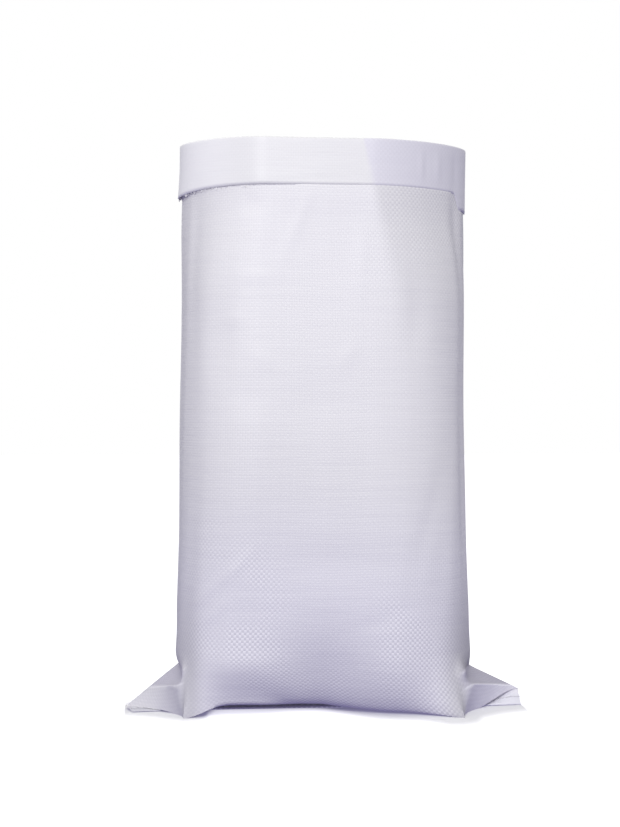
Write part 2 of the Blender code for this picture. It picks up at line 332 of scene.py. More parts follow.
# Base: shares of its width where the rounding of the floor edge, the lip and the wall begins and is most,
# how it ends at the right, and how far it draws the wall and the edge in. BASE_POWERS and BASE_SOFT are for
# the front left and the back right first, then for the front right and the back left.
EDGE_ROUND = (0.26, 0.48)
LIP_ROUND = (0.0, 0.16)
WALL_ROUND = (0.20, 0.48)
ROUND_RIGHT = 0.20
ROUND_RIGHT_FADE = (0.80, 1.0)
ROUND_LEVEL = 0.75
ROUND_BACK = 0.7
ROUND_TOP = 0.150
ROUND_DRAW = 0.0135
ROUND_POWER = 2.2
BASE_ROUND = 0.032
BASE_ROUND_MORE = 0.018
BASE_POWERS = (0.6, 1.8)
BASE_SOFT = (0.2, 0.0)
CURL_FROM = (0.24, 0.44)
# Folds on the back, at random within these limits; the lean is a mean and its spread in degrees
BACK_FOLD_COUNT = 26
BACK_FOLD_SEED = 11
BACK_FOLD_PLACES = (-0.16, 0.16)
BACK_FOLD_HEIGHTS = (0.10, 0.60)
BACK_FOLD_LENGTHS = (0.02, 0.07)
BACK_FOLD_WIDTHS = (0.007, 0.020)
BACK_FOLD_OUT = 0.10
BACK_FOLD_LEAN = (80.0, 28.0)
# Soft swells all over, weaker at the front and under the cuff
SOFT_DEPTH = 0.0016
SOFT_SIZE = 0.075
SOFT_STRETCH = 0.5
SOFT_FRONT = 0.4
SOFT_TOP = 0.3


def round_share(sack, x, start, peak):
    """Rounding of the base: none at its corners, most left of the middle, less to the right."""
    share = np.clip((x + sack.corner_x) / (2.0 * sack.corner_x), 0.0, 1.0)
    left = smooth_step(share, start, peak)
    right = 1.0 - smooth_step(share, *ROUND_RIGHT_FADE)
    return left * right * (1.0 - (1.0 - ROUND_RIGHT) * smooth_step(share, peak, ROUND_LEVEL))


def outward_of(rings):
    """Level outward direction of every point of the rings."""
    loops = rings[:, :-1]
    ahead = np.roll(loops, -1, axis=1) - np.roll(loops, 1, axis=1)
    direction = np.stack([ahead[:, :, 1], -ahead[:, :, 0], np.zeros(ahead.shape[:2])], axis=2)
    direction /= np.linalg.norm(direction, axis=2, keepdims=True)
    return np.concatenate([direction, direction[:, :1]], axis=1)


def fold(x, z, at_x, at_z, half_length, half_width, lean):
    """Height of a soft fold of height one that runs at a lean to the level."""
    angle = math.radians(lean)
    along = (x - at_x) * math.cos(angle) + (z - at_z) * math.sin(angle)
    beside = -(x - at_x) * math.sin(angle) + (z - at_z) * math.cos(angle)
    return np.exp(-((along / half_length) ** 2) - (beside / half_width) ** 2)


def relief(sack, rings):
    """How far each point of the wall stands out of its plain section."""
    x, y, z = rings[:, :, 0], rings[:, :, 1], rings[:, :, 2]
    front, back = smooth_step(-y, *FRONT_FADE), smooth_step(y, *BACK_FADE)
    push = np.zeros(x.shape)
    for at_x, at_z, half_length, half_width, lean, out in FRONT_FOLDS:
        push += front * out * fold(x, z, at_x, at_z, half_length, half_width, lean)
    drawn = np.clip((ROUND_TOP - z) / (ROUND_TOP - sack.ear_top), 0.0, 1.0) ** ROUND_POWER
    push -= ROUND_DRAW * drawn * front * round_share(sack, x, *WALL_ROUND)
    push -= ROUND_DRAW * drawn * back * ROUND_BACK * round_share(sack, -x, *WALL_ROUND)
    random = np.random.default_rng(BACK_FOLD_SEED)
    for _ in range(BACK_FOLD_COUNT):
        at_x, at_z = random.uniform(*BACK_FOLD_PLACES), random.uniform(*BACK_FOLD_HEIGHTS)
        half_length, half_width = random.uniform(*BACK_FOLD_LENGTHS), random.uniform(*BACK_FOLD_WIDTHS)
        out = random.choice([-1.0, 1.0]) * half_width * BACK_FOLD_OUT
        push += back * out * fold(x, z, at_x, at_z, half_length, half_width, random.normal(*BACK_FOLD_LEAN))

    steps = np.linalg.norm(np.diff(rings, axis=1), axis=2)
    way = np.concatenate([np.zeros((len(x), 1)), np.cumsum(steps, axis=1)], axis=1)
    half = way[:, sack.columns // 2][:, None]
    from_crease = {"left": way, "right": np.where(way <= half, half - way, half)}
    above_ears, *under_rim = SIDE_FOLD_FADES
    low_fade = smooth_step(z, sack.ear_top, sack.ear_top + above_ears)
    high_fade = 1.0 - smooth_step(z, *(sack.height - under for under in under_rim))
    for crease, at, half_width, out, sway in SIDE_FOLDS:
        swayed = at + sway * np.sin(SIDE_FOLD_WAVES * z + SIDE_FOLD_PHASE * at)
        line = np.exp(-(((from_crease[crease] - swayed) / half_width) ** 2))
        swell = np.sin(SWELL_WAVES * SIDE_FOLD_WAVES * z + SWELL_PHASE * at)
        strength = 1.0 - SWELL_SHARE + SWELL_SHARE * swell
        push += low_fade * high_fade * front * out * line * strength
    nearest = np.minimum(np.minimum(way, way[:, -1:] - way), np.abs(way - half))
    cuff_edge = sack.height - CUFF_MIDDLE
    neck = smooth_step(z, *NECK_FADE) * (1.0 - smooth_step(z, cuff_edge - NECK_EDGE, cuff_edge))
    push -= NECK_DRAW * neck * np.exp(-((x + sack.body_width / 2.0) / SIDE_REACH) ** 2)
    waist = np.exp(-(((z - WAIST_HEIGHT) / WAIST_SPREAD) ** 2))
    push -= WAIST_DRAW * waist * np.exp(-((x - sack.body_width / 2.0) / SIDE_REACH) ** 2)
    push += CREASE_RIDGE * np.exp(-((nearest / CREASE_REACH) ** 2)) * high_fade * low_fade
    soft = np.empty(x.shape)
    for place in np.ndindex(x.shape):
        soft[place] = noise.noise(Vector((x[place], y[place], z[place] * SOFT_STRETCH)) / SOFT_SIZE)
    soft *= (SOFT_FRONT + (1.0 - SOFT_FRONT) * back) * (SOFT_TOP + (1.0 - SOFT_TOP) * high_fade)
    return push + SOFT_DEPTH * soft * low_fade


def body_rings(sack, heights, outward=0.0):
    """Rings of points round the body, one at each height, moved outward by a distance."""
    heights = np.asarray(heights, float)
    spread = np.exp(-(heights - sack.ear_top) / sack.foot_spread)
    half_width = (sack.body_width + (sack.foot_width - sack.body_width) * spread) / 2.0
    fade = smooth_step(heights, *FLAT_FADE)
    flat_left = FLAT_LOW[0] + (FLAT_HIGH[0] - FLAT_LOW[0]) * fade
    flat_right = FLAT_LOW[1] + (FLAT_HIGH[1] - FLAT_LOW[1]) * fade
    low, middle, high = DEPTH_HEIGHTS
    half_depth = HALF_DEPTH[0] + (HALF_DEPTH[1] - HALF_DEPTH[0]) * smooth_step(heights, low, middle)
    half_depth += (HALF_DEPTH[2] - HALF_DEPTH[1]) * smooth_step(heights, middle, high)
    mouth = smooth_step(heights, *MOUTH_FADE)
    foot = 1.0 - smooth_step(heights, *FOOT_FADE)
    squares = []
    for low, middle, high in zip(END_SQUARE_FOOT, END_SQUARE, END_SQUARE_MOUTH, strict=True):
        squares.append(middle + (low - middle) * foot + (high - middle) * mouth)
    x, y, length = outline(half_width, half_depth, flat_left, flat_right, *squares)
    share = np.arange(sack.columns + 1) / sack.columns
    rings = np.zeros((len(heights), sack.columns + 1, 3))
    for ring, height, ring_x, ring_y, along in zip(rings, heights, x, y, length, strict=True):
        turn = sack.base_turn * (1.0 - smooth_step(height, sack.ear_top, sack.ear_top + TURN_HEIGHT))
        at_x = np.interp(share * along[-1], along, ring_x)
        at_y = np.interp(share * along[-1], along, ring_y)
        ring[:, 0], ring[:, 1] = turned(at_x, at_y, turn)
        ring[:, 2] = height
    direction = outward_of(rings)
    return rings + direction * (outward + relief(sack, rings))[:, :, None]


def body_slope(sack, height):
    """How the body's ring moves with height, for walls that run smoothly into it."""
    low, high = body_rings(sack, [height, height + SECTION_STEP])
    return (high - low) / SECTION_STEP


# Hem: over what length its ends rise off the floor, how far they stand up, and how they end
HEM_RISE_LENGTH = 0.055
HEM_LEAN_LEFT = math.radians(5.0)
HEM_LEAN_RIGHT = math.radians(43.0)
HEM_STEP = 0.020
TIP_FORWARD_LEFT = 0.007
TIP_FORWARD_RIGHT = 0.012
TIP_FORWARD_POWER = 4
TIP_CUT_LEFT = 0.009
TIP_CUT_REACH = 0.030
FLOOR_GAP = 0.0003


def hem_lean(sack, across):
    """Angle of the hem band: flat on the floor under the sack, standing up most at the right tip."""
    tip = sack.flat_width / 2.0
    most = np.where(across < 0.0, HEM_LEAN_LEFT, HEM_LEAN_RIGHT)
    return most * smooth_step(np.abs(across), tip - HEM_RISE_LENGTH, tip)


def seam_rise(sack, across):
    return sack.hem_width * np.sin(hem_lean(sack, across))


def edge_rise(sack, across):
    """The floor edge of an ear stays down for longer than the seam, and meets it at the tip."""
    return seam_rise(sack, across) * smooth_step(ear_share(sack, across), *EDGE_RISE)


def seam_line(sack, across):
    """Root of the hem band, where the two walls of the tube meet."""
    forward = np.where(across < 0.0, TIP_FORWARD_LEFT, TIP_FORWARD_RIGHT)
    root = np.zeros((len(across), 3))
    root[:, 0] = across
    root[:, 1] = -forward * (2.0 * across / sack.flat_width) ** TIP_FORWARD_POWER
    root[:, 2] = sack.hem_thickness / 2.0 + seam_rise(sack, across)
    return root


def hem_ring(sack, across, side, from_root, thickness):
    """Both faces of the hem band, a given way down from its root."""
    lean = hem_lean(sack, across)
    ring = seam_line(sack, across)
    cut = smooth_step(-across, sack.flat_width / 2.0 - TIP_CUT_REACH, sack.flat_width / 2.0)
    ring[:, 0] += TIP_CUT_LEFT * cut * from_root / sack.hem_width
    ring[:, 1] -= from_root * np.cos(lean) + side * -0.5 * thickness * np.sin(lean)
    ring[:, 2] -= from_root * np.sin(lean) + side * 0.5 * thickness * np.cos(lean)
    return ring


# Underside: how the front edge curls up, and the room that the wall keeps over the hem's stitches
LIP_HEIGHT = 0.0158
LIP_POWER = 1.1
EAR_FLAT = 0.6
STITCH_ROOM = 0.0018


def lip(sack, across, side, forward):
    """How far the base curls up off the floor towards its front edge, which lies at forward one."""
    share = np.where(side < 0.0, round_share(sack, across, *LIP_ROUND), 0.0)
    return LIP_HEIGHT * share * forward**LIP_POWER


def height_over_hem(sack, places, root):
    """Height of the front wall where it lies over the hem and its stitches, and down to the floor."""
    forward = np.abs(places[:, 1] - root[:, 1])
    over = 1.0 - smooth_step(forward, sack.hem_width, sack.hem_width + HEM_STEP)
    return (sack.hem_thickness + STITCH_ROOM) * over


def base_inset(sack, across, side):
    """How far the floor edge lies behind the straight lines between the corners of the base."""
    power = np.where(across * side > 0.0, *BASE_POWERS)
    soft = np.where(across * side > 0.0, *BASE_SOFT)
    share = np.clip(np.abs(across) / sack.corner_x, 0.0, 1.0)
    straight = ((np.hypot(share, soft) - soft) / (np.hypot(1.0, soft) - soft)) ** power
    front, back = round_share(sack, across, *EDGE_ROUND), round_share(sack, -across, *EDGE_ROUND)
    more = np.where(side < 0.0, front, ROUND_BACK * back)
    return BASE_ROUND * (1.0 - straight) + BASE_ROUND_MORE * more


# Ears: the crease across each ear and the line where it leaves the body, from the corner to the ridge.
# Pairs are for the left ear and the right, but EDGE_RISE is where along an ear its floor edge rises.
ARC_PULL = 0.42
LEAN_BEND = 0.6
CREASE_AT_CORNER = 0.040
JUNCTION_AT_CORNER = 0.056
RIDGE_CREASES = (0.42, 0.08)
CORNER_BLEND = 0.24
RIDGE_TOPS = (0.0555, 0.052)
SHOULDER_BEND = 0.6
RIDGE_TOP_IN = 0.003
RIDGE_TOP_FORWARD = 0.012
CREASE_LEAN = (0.003, 0.006)
EAR_BOW = (0.0, 0.004)
EDGE_RISE = (0.55, 1.0)
VALLEY_DEPTH = 0.0035
VALLEY_BACK = 0.8
PANEL_RINGS = 14
FACET_RINGS = 8
VALLEY_RINGS = 7
SHOULDER_RINGS = 7
# Section of the hem band: share of its width from the root, and share of its thickness
HEM_SECTION = ((1.0, 0.0), (0.97, 0.8), (0.8, 1.0), (0.5, 1.0), (0.2, 1.0))


def arc(first, second, third, last, t):
    """Points of cubic curves at a share of the way along."""
    back = 1.0 - t
    return back**3 * first + 3.0 * back**2 * t * second + 3.0 * back * t**2 * third + t**3 * last


def curl_share(sack):
    """How far the front or the back curls under at the floor: not at its left, fully from its middle on."""
    across, side = tube_columns(sack)
    x = np.where(side < 0.0, across, -across)
    return smooth_step((x + sack.corner_x) / (2.0 * sack.corner_x), *CURL_FROM)[:, None]


def leaned(curl, edge, ring, swing, below):
    """The middle points of the wall's curve at the floor, in a plain lean where nothing curls under."""
    swing = swing * curl + (edge + (ring - edge) / 3.0) * (1.0 - curl)
    below = below * curl + (ring + (below - ring) * LEAN_BEND) * (1.0 - curl)
    return swing, below


def ear_share(sack, across):
    """Nothing on the base, rising to one at the tips of the ears."""
    half = sack.flat_width / 2.0
    return np.clip(1.0 - (half - np.abs(across)) / (half - sack.corner_x), 0.0, 1.0)


def floor_edge(sack):
    """Line where the fabric turns up from the floor, rounded between corners and bowed along the ears."""
    across, side = tube_columns(sack)
    line = seam_line(sack, across)
    ear = ear_share(sack, across)
    inset = base_inset(sack, across, side)
    flat_x = np.clip(across, -sack.corner_x, sack.corner_x)
    plain_x, plain_y = turned(flat_x, side * (sack.corner_y - inset), sack.base_turn)
    corner_x, corner_y = turned(np.sign(across) * sack.corner_x, side * sack.corner_y, sack.base_turn)
    edge = np.zeros_like(line)
    edge[:, 0] = np.where(ear > 0.0, ear * line[:, 0] + (1.0 - ear) * corner_x, plain_x)
    edge[:, 1] = np.where(ear > 0.0, ear * line[:, 1] + (1.0 - ear) * corner_y, plain_y)
    edge[:, 1] -= side * np.where(across < 0.0, *EAR_BOW) * np.sin(np.pi * ear)
    return edge


def ear_lines(sack, ring, line):
    """The crease across each ear, and the line where the ear leaves the body."""
    across, side = tube_columns(sack)
    end, ear = np.sign(across), ear_share(sack, across)
    tip = line[np.argmin(across)] * (end < 0.0)[:, None] + line[np.argmax(across)] * (end > 0.0)[:, None]
    tip[:, 2] += sack.hem_thickness / 2.0
    ridge_top = ring[np.where(end < 0.0, 0, sack.columns // 2)].copy()
    ridge_top[:, 0] -= end * RIDGE_TOP_IN
    ridge_top[:, 1] -= RIDGE_TOP_FORWARD
    ridge_top[:, 2] = np.where(end < 0.0, *RIDGE_TOPS)
    ridge_crease = tip + (ridge_top - tip) * np.where(end < 0.0, *RIDGE_CREASES)[:, None]
    lines = []
    for height, on_ridge in ((CREASE_AT_CORNER, ridge_crease), (JUNCTION_AT_CORNER, ridge_top)):
        corner = np.full_like(ring, height)
        corner[:, 0], corner[:, 1] = turned(end * sack.corner_x, side * sack.corner_y, sack.base_turn)
        lines.append(corner * (1.0 - ear[:, None]) + on_ridge * ear[:, None])
    crease, junction = lines
    pinch = np.sin(np.pi * ear)
    bow, lean = np.where(end < 0.0, *EAR_BOW), np.where(end < 0.0, *CREASE_LEAN)
    crease[:, 0] -= end * lean * pinch
    crease[:, 1] -= side * (bow + lean) * pinch
    junction[:, 1] -= side * bow * pinch
    return crease, junction


def ear_rings(sack, edge, ring, slope):
    """Rings over the ears' facet, the valley above its crease and the shoulder, with their heights."""
    across, side = tube_columns(sack)
    crease, junction = ear_lines(sack, ring, seam_line(sack, across))
    pinch = np.sin(np.pi * ear_share(sack, across))
    valley_way = np.stack([np.sign(across), VALLEY_BACK * side, np.ones(len(across))], axis=1)
    bend = ring - slope * (ring[:, 2:] - junction[:, 2:]) * SHOULDER_BEND
    for step in range(1, FACET_RINGS + 1):
        t = step / FACET_RINGS
        yield CREASE_AT_CORNER * t, edge + (crease - edge) * t
    for step in range(1, VALLEY_RINGS + 1):
        t = step / VALLEY_RINGS
        sink = VALLEY_DEPTH * math.sin(math.pi * t) * pinch
        valley = crease + (junction - crease) * t - valley_way * sink[:, None]
        yield CREASE_AT_CORNER + (JUNCTION_AT_CORNER - CREASE_AT_CORNER) * t, valley
    for step in range(1, SHOULDER_RINGS + 1):
        t = step / (SHOULDER_RINGS + 1)
        shoulder = (1.0 - t) ** 2 * junction + 2.0 * (1.0 - t) * t * bend + t**2 * ring
        yield JUNCTION_AT_CORNER + (sack.ear_top - JUNCTION_AT_CORNER) * t, shoulder


def panel_rings(sack, folded, edge):
    """Rings along the underside, from the fold over the hem to the floor edge."""
    across, side = tube_columns(sack)
    line = seam_line(sack, across)
    flatter = 1.0 - EAR_FLAT * ear_share(sack, across)
    for step in range(1, PANEL_RINGS):
        forward = step / PANEL_RINGS
        panel = folded + (edge - folded) * forward
        over = seam_rise(sack, across) * (1.0 - forward) + edge_rise(sack, across) * forward
        over += height_over_hem(sack, panel, line) * flatter + lip(sack, across, side, forward)
        panel[:, 2] = np.where(side < 0.0, over, panel[:, 2])
        yield panel


def foot_rings(sack):
    """Rings from the free edge of the hem, under the sack and round its ears, up to the plain body."""
    across, side = tube_columns(sack)
    ear = ear_share(sack, across)
    hem = []
    for out, thick in HEM_SECTION:
        hem.append(hem_ring(sack, across, side, out * sack.hem_width, thick * sack.hem_thickness))
    root = hem_ring(sack, across, side, 0.0, sack.hem_thickness)
    folded = root.copy()
    folded[:, 2] += np.where(side < 0.0, STITCH_ROOM * np.cos(hem_lean(sack, across)), 0.0)
    edge = floor_edge(sack)
    under = height_over_hem(sack, edge, seam_line(sack, across)) * (1.0 - EAR_FLAT * ear)
    under += lip(sack, across, side, 1.0)
    edge[:, 2] = edge_rise(sack, across) + np.where(side > 0.0, FLOOR_GAP * ear, under)

    # Plain columns leave the floor in one curve, ear columns go over the ear.
    ring, slope = body_rings(sack, [sack.ear_top])[0], body_slope(sack, sack.ear_top)
    curled = edge.copy()
    curled[:, 1] += side * base_inset(sack, across, side) * ARC_PULL
    swing, below = leaned(curl_share(sack), edge, ring, curled, ring - slope * sack.ear_top / 2.0)
    into_ear = smooth_step(ear, 0.0, CORNER_BLEND)[:, None]
    foot = []
    for height, in_ears in ear_rings(sack, edge, ring, slope):
        plain = arc(edge, swing, below, ring, height / sack.ear_top)
        foot.append(plain + (in_ears - plain) * into_ear)
    return [*hem, root, folded, *panel_rings(sack, folded, edge), edge, *foot]


# Cuff: how far it hangs, where it drops at the right, how far it stands off the wall
CUFF_LEFT = 0.066
CUFF_MIDDLE = 0.057
CUFF_RIGHT = 0.080
CUFF_DROP = (0.80, 0.86)
CUFF_DROP_BACK = (0.40, 1.0)
CUFF_SLOPE = 0.004
CUFF_GAP = 0.0013
CUFF_SNUG = 0.0007
CUFF_FLARE_LEFT = 0.0026
CUFF_SWELL_RIGHT = 0.0022
CUFF_SWELL_LOSS = 0.4
CUFF_FLARE_REACH = 0.030
# Faint upright pleats at the right of the cuff: place, half width and how far out
CUFF_PLEATS = (
    (0.112, 0.003, 0.0007),
    (0.119, 0.003, -0.0005),
    (0.135, 0.004, 0.0009),
    (0.161, 0.004, -0.0009),
)
# Wall below the cuff, where it comes out and runs on flush with the cuff's edge
STEP_OUT = 0.0014
STEP_OUT_FROM = (-0.007, -0.002)
STEP_OUT_FADE = (0.004, 0.050)
FLUSH_FROM = (-0.100, -0.030)
FLUSH_TO = (0.220, 0.245)
RIM_RADIUS = 0.0013
RIM_DIP = 0.004
RIM_DIP_DEPTH = 0.10
# Rings along the wall, closer together between two depths below the rim, then over it and down the cuff
WALL_RINGS = 88
FINE_DEPTHS = (0.094, 0.050)
FINE_RINGS = 20
MOUTH_RINGS = 8
RIM_RINGS = 7
CUFF_RINGS = 13


def cuff_length(sack):
    """How far the cuff hangs below the rim at each column."""
    across, side = tube_columns(sack)
    share = np.abs(2.0 * across / sack.flat_width)
    left = CUFF_MIDDLE + (CUFF_LEFT - CUFF_MIDDLE) * share**3
    level = CUFF_MIDDLE + CUFF_SLOPE * share**2
    front = level + (CUFF_RIGHT - level) * smooth_step(share, *CUFF_DROP)
    back = level + (CUFF_RIGHT - level) * smooth_step(share, *CUFF_DROP_BACK)
    return np.where(across < 0.0, left, np.where(side > 0.0, back, front))


def flush_share(sack):
    """Part of the front where the cuff's lower edge can hardly be seen."""
    across, side = tube_columns(sack)
    return smooth_step(across, *FLUSH_FROM) * (1.0 - smooth_step(across, *FLUSH_TO)) * (side < 0.0)


def wall_heights(sack):
    """Heights of the wall's rings, closer together around the lower edge of the cuff."""
    low, high = (sack.height - depth for depth in FINE_DEPTHS)
    plain = np.linspace(sack.ear_top, low, WALL_RINGS)
    fine = np.linspace(low, high, FINE_RINGS)
    return np.concatenate([plain, fine[1:], np.linspace(high, sack.height - RIM_RADIUS, MOUTH_RINGS)[1:]])


def step_out(sack, heights):
    """How far the wall comes out below the cuff, so that it runs on flush with it."""
    below = (sack.height - rim_dip(sack) - cuff_length(sack))[None, :] - heights[:, None]
    shape = smooth_step(below, *STEP_OUT_FROM) * (1.0 - smooth_step(below, *STEP_OUT_FADE))
    return STEP_OUT * flush_share(sack)[None, :] * shape


def rim_dip(sack):
    across, side = tube_columns(sack)
    return RIM_DIP * np.where(side < 0.0, 1.0 - (2.0 * across / sack.flat_width) ** 2, 0.0)


def standing_off(ring, gap):
    return (ring + outward_of(ring) * gap[None, :, None])[0]


def mouth_rings(sack):
    """Rings over the turned rim and down the cuff to its raw edge."""
    across, _ = tube_columns(sack)
    dip, length = rim_dip(sack), cuff_length(sack)
    from_left, from_right = sack.flat_width / 2.0 + across, sack.flat_width / 2.0 - across
    flare = CUFF_FLARE_LEFT * np.exp(-((from_left / CUFF_FLARE_REACH) ** 2))
    swell = CUFF_SWELL_RIGHT * np.exp(-((from_right / CUFF_FLARE_REACH) ** 2))
    rings = []
    for step in range(1, RIM_RINGS + 1):
        angle = math.pi * step / RIM_RINGS
        gap = (CUFF_GAP + swell) * (1.0 - math.cos(angle)) / 2.0
        ring = standing_off(body_rings(sack, [sack.height]), gap)
        ring[:, 2] -= dip + RIM_RADIUS * (1.0 - math.sin(angle))
        rings.append(ring)
    for step in range(1, CUFF_RINGS + 1):
        t = step / CUFF_RINGS
        ring = body_rings(sack, [sack.height - RIM_RADIUS - (CUFF_MIDDLE - RIM_RADIUS) * t])
        gap = CUFF_GAP + (CUFF_SNUG - CUFF_GAP) * t + flare * t * t + swell * (1.0 - CUFF_SWELL_LOSS * t)
        for at_x, half_width, out in CUFF_PLEATS:
            line = np.exp(-(((ring[0, :, 0] - at_x) / half_width) ** 2)) * (ring[0, :, 1] < 0.0)
            gap = gap + out * line * math.sin(math.pi * t) ** 2
        ring = standing_off(ring, gap)
        ring[:, 2] = sack.height - dip - RIM_RADIUS - (length - RIM_RADIUS) * t
        rings.append(ring)
    return rings


# How far into the ears each mark for the material is full
FACET_MARK = (0.05, 0.18)
UPPER_MARK = (0.05, 0.25)
CREASE_MARK = (0.0, 0.1)


def ear_marks(sack, shape, first_wall):
    """Marks for the material: the ears, their upper facets, and the creases below those."""
    ear = ear_share(sack, tube_columns(sack)[0])
    shoulder = first_wall - SHOULDER_RINGS
    crease = shoulder - VALLEY_RINGS - 1
    lower, upper, folded = np.zeros(shape), np.zeros(shape), np.zeros(shape)
    lower[:shoulder] = smooth_step(ear, *FACET_MARK)
    fade = 1.0 - np.arange(1, SHOULDER_RINGS + 1) / (SHOULDER_RINGS + 1)
    upper[crease + 1 : shoulder] = smooth_step(ear, *UPPER_MARK)
    upper[shoulder:first_wall] = fade[:, None] * smooth_step(ear, *UPPER_MARK)
    folded[crease] = smooth_step(ear, *CREASE_MARK)
    return {"ear": lower, "ear_upper": upper, "ear_crease": folded}


def sack_rings(sack):
    """All rings of the fabric, how far along the cut fabric each one lies, and the marks on them."""
    foot, heights = foot_rings(sack), wall_heights(sack)
    wall = body_rings(sack, heights, step_out(sack, heights))
    under_rim = smooth_step(heights, sack.height - RIM_DIP_DEPTH, sack.height - RIM_RADIUS)
    wall[:, :, 2] -= under_rim[:, None] * rim_dip(sack)[None, :]
    rings = np.array([*foot, *wall, *mouth_rings(sack)])
    steps = np.linalg.norm(np.diff(rings, axis=0), axis=2)
    flat = np.concatenate([np.zeros((1, steps.shape[1])), np.cumsum(steps, axis=0)])
    # The foot's columns are unlike in length on the sack, and alike on the cut fabric.
    first_wall = len(foot)
    standard = sack.hem_width + sack.corner_y + sack.ear_top
    at_wall = flat[first_wall].copy()
    flat[first_wall + 1 :] += standard - at_wall
    flat[: first_wall + 1] *= standard / at_wall
    return rings, flat, ear_marks(sack, flat.shape, first_wall)


SHARP_ANGLE = math.radians(65.0)
MERGE_DISTANCE = 1e-6
LEAST_EDGE = 1e-7
FRONT_HEIGHT = 0.400


def linked(name, data):
    """A new object in the scene."""
    obj = bpy.data.objects.new(name, data)
    bpy.context.scene.collection.objects.link(obj)
    return obj


def front_score(place):
    """High for a point in the middle of the front wall, below the cuff."""
    return -abs(place.x) - abs(place.z - FRONT_HEIGHT) - place.y


def skin(name, rings, flat, around, material, inner=None, thickness=0.0, marks=None):
    """One smooth mesh through the rings, with its flat cut as the UV map in metres."""
    count, columns = rings.shape[0], rings.shape[1] - 1
    mesh = bpy.data.meshes.new(name)
    work = bmesh.new()
    bmesh.ops.create_grid(work, x_segments=columns, y_segments=count - 1, size=1.0)
    work.verts.ensure_lookup_table()
    uv_map = work.loops.layers.uv.new("flat_cut")
    uv = np.stack([np.broadcast_to(around, flat.shape), flat], axis=2).reshape(-1, 2)
    for face in work.faces:
        for loop in face.loops:
            loop[uv_map].uv = uv[loop.vert.index]
    for vertex, place in zip(work.verts, rings.reshape(-1, 3), strict=True):
        vertex.co = Vector(place)
    for mark, values in (marks or {}).items():
        layer = work.verts.layers.float.new(mark)
        for vertex, value in zip(work.verts, values.ravel(), strict=True):
            vertex[layer] = value
    bmesh.ops.remove_doubles(work, verts=work.verts, dist=MERGE_DISTANCE)
    bmesh.ops.dissolve_degenerate(work, edges=work.edges, dist=LEAST_EDGE)
    bmesh.ops.recalc_face_normals(work, faces=work.faces)
    work.faces.ensure_lookup_table()
    front = max(work.faces, key=lambda face: front_score(face.calc_center_median()))
    if front.normal.y > 0.0:
        bmesh.ops.reverse_faces(work, faces=work.faces)
    work.to_mesh(mesh)
    work.free()
    mesh.shade_smooth()
    mesh.set_sharp_from_angle(angle=SHARP_ANGLE)
    mesh.materials.append(material)
    obj = linked(name, mesh)
    if thickness > 0.0:
        mesh.materials.append(inner)
        wall = obj.modifiers.new("fabric", "SOLIDIFY")
        wall.thickness = thickness
        wall.offset = -1.0
        wall.use_even_offset = False
        wall.material_offset = 1
        wall.material_offset_rim = 1
    return obj


# Materials


class Value:
    """A number or a colour that nodes work out. A plain sign puts the next node after it."""

    def __init__(self, sketch, socket):
        self.sketch = sketch
        self.socket = socket

    def math(self, operation, *others):
        return self.sketch.math(operation, self, *others)

    def rise(self, low, high, most=1.0):
        """Smooth rise from nothing at low to most at high."""
        settings = {"interpolation_type": "SMOOTHSTEP"}
        return self.sketch.value("ShaderNodeMapRange", settings, i0=self, i1=low, i2=high, i3=0.0, i4=most)

    def __abs__(self):
        return self.math("ABSOLUTE")

    def __add__(self, other):
        return self.math("ADD", other)

    def __sub__(self, other):
        return self.math("SUBTRACT", other)

    def __rsub__(self, other):
        return self.sketch.math("SUBTRACT", other, self)

    def __mul__(self, other):
        return self.math("MULTIPLY", other)

    def __truediv__(self, other):
        return self.math("DIVIDE", other)

    def __pow__(self, other):
        return self.math("POWER", other)

    __radd__ = __add__
    __rmul__ = __mul__


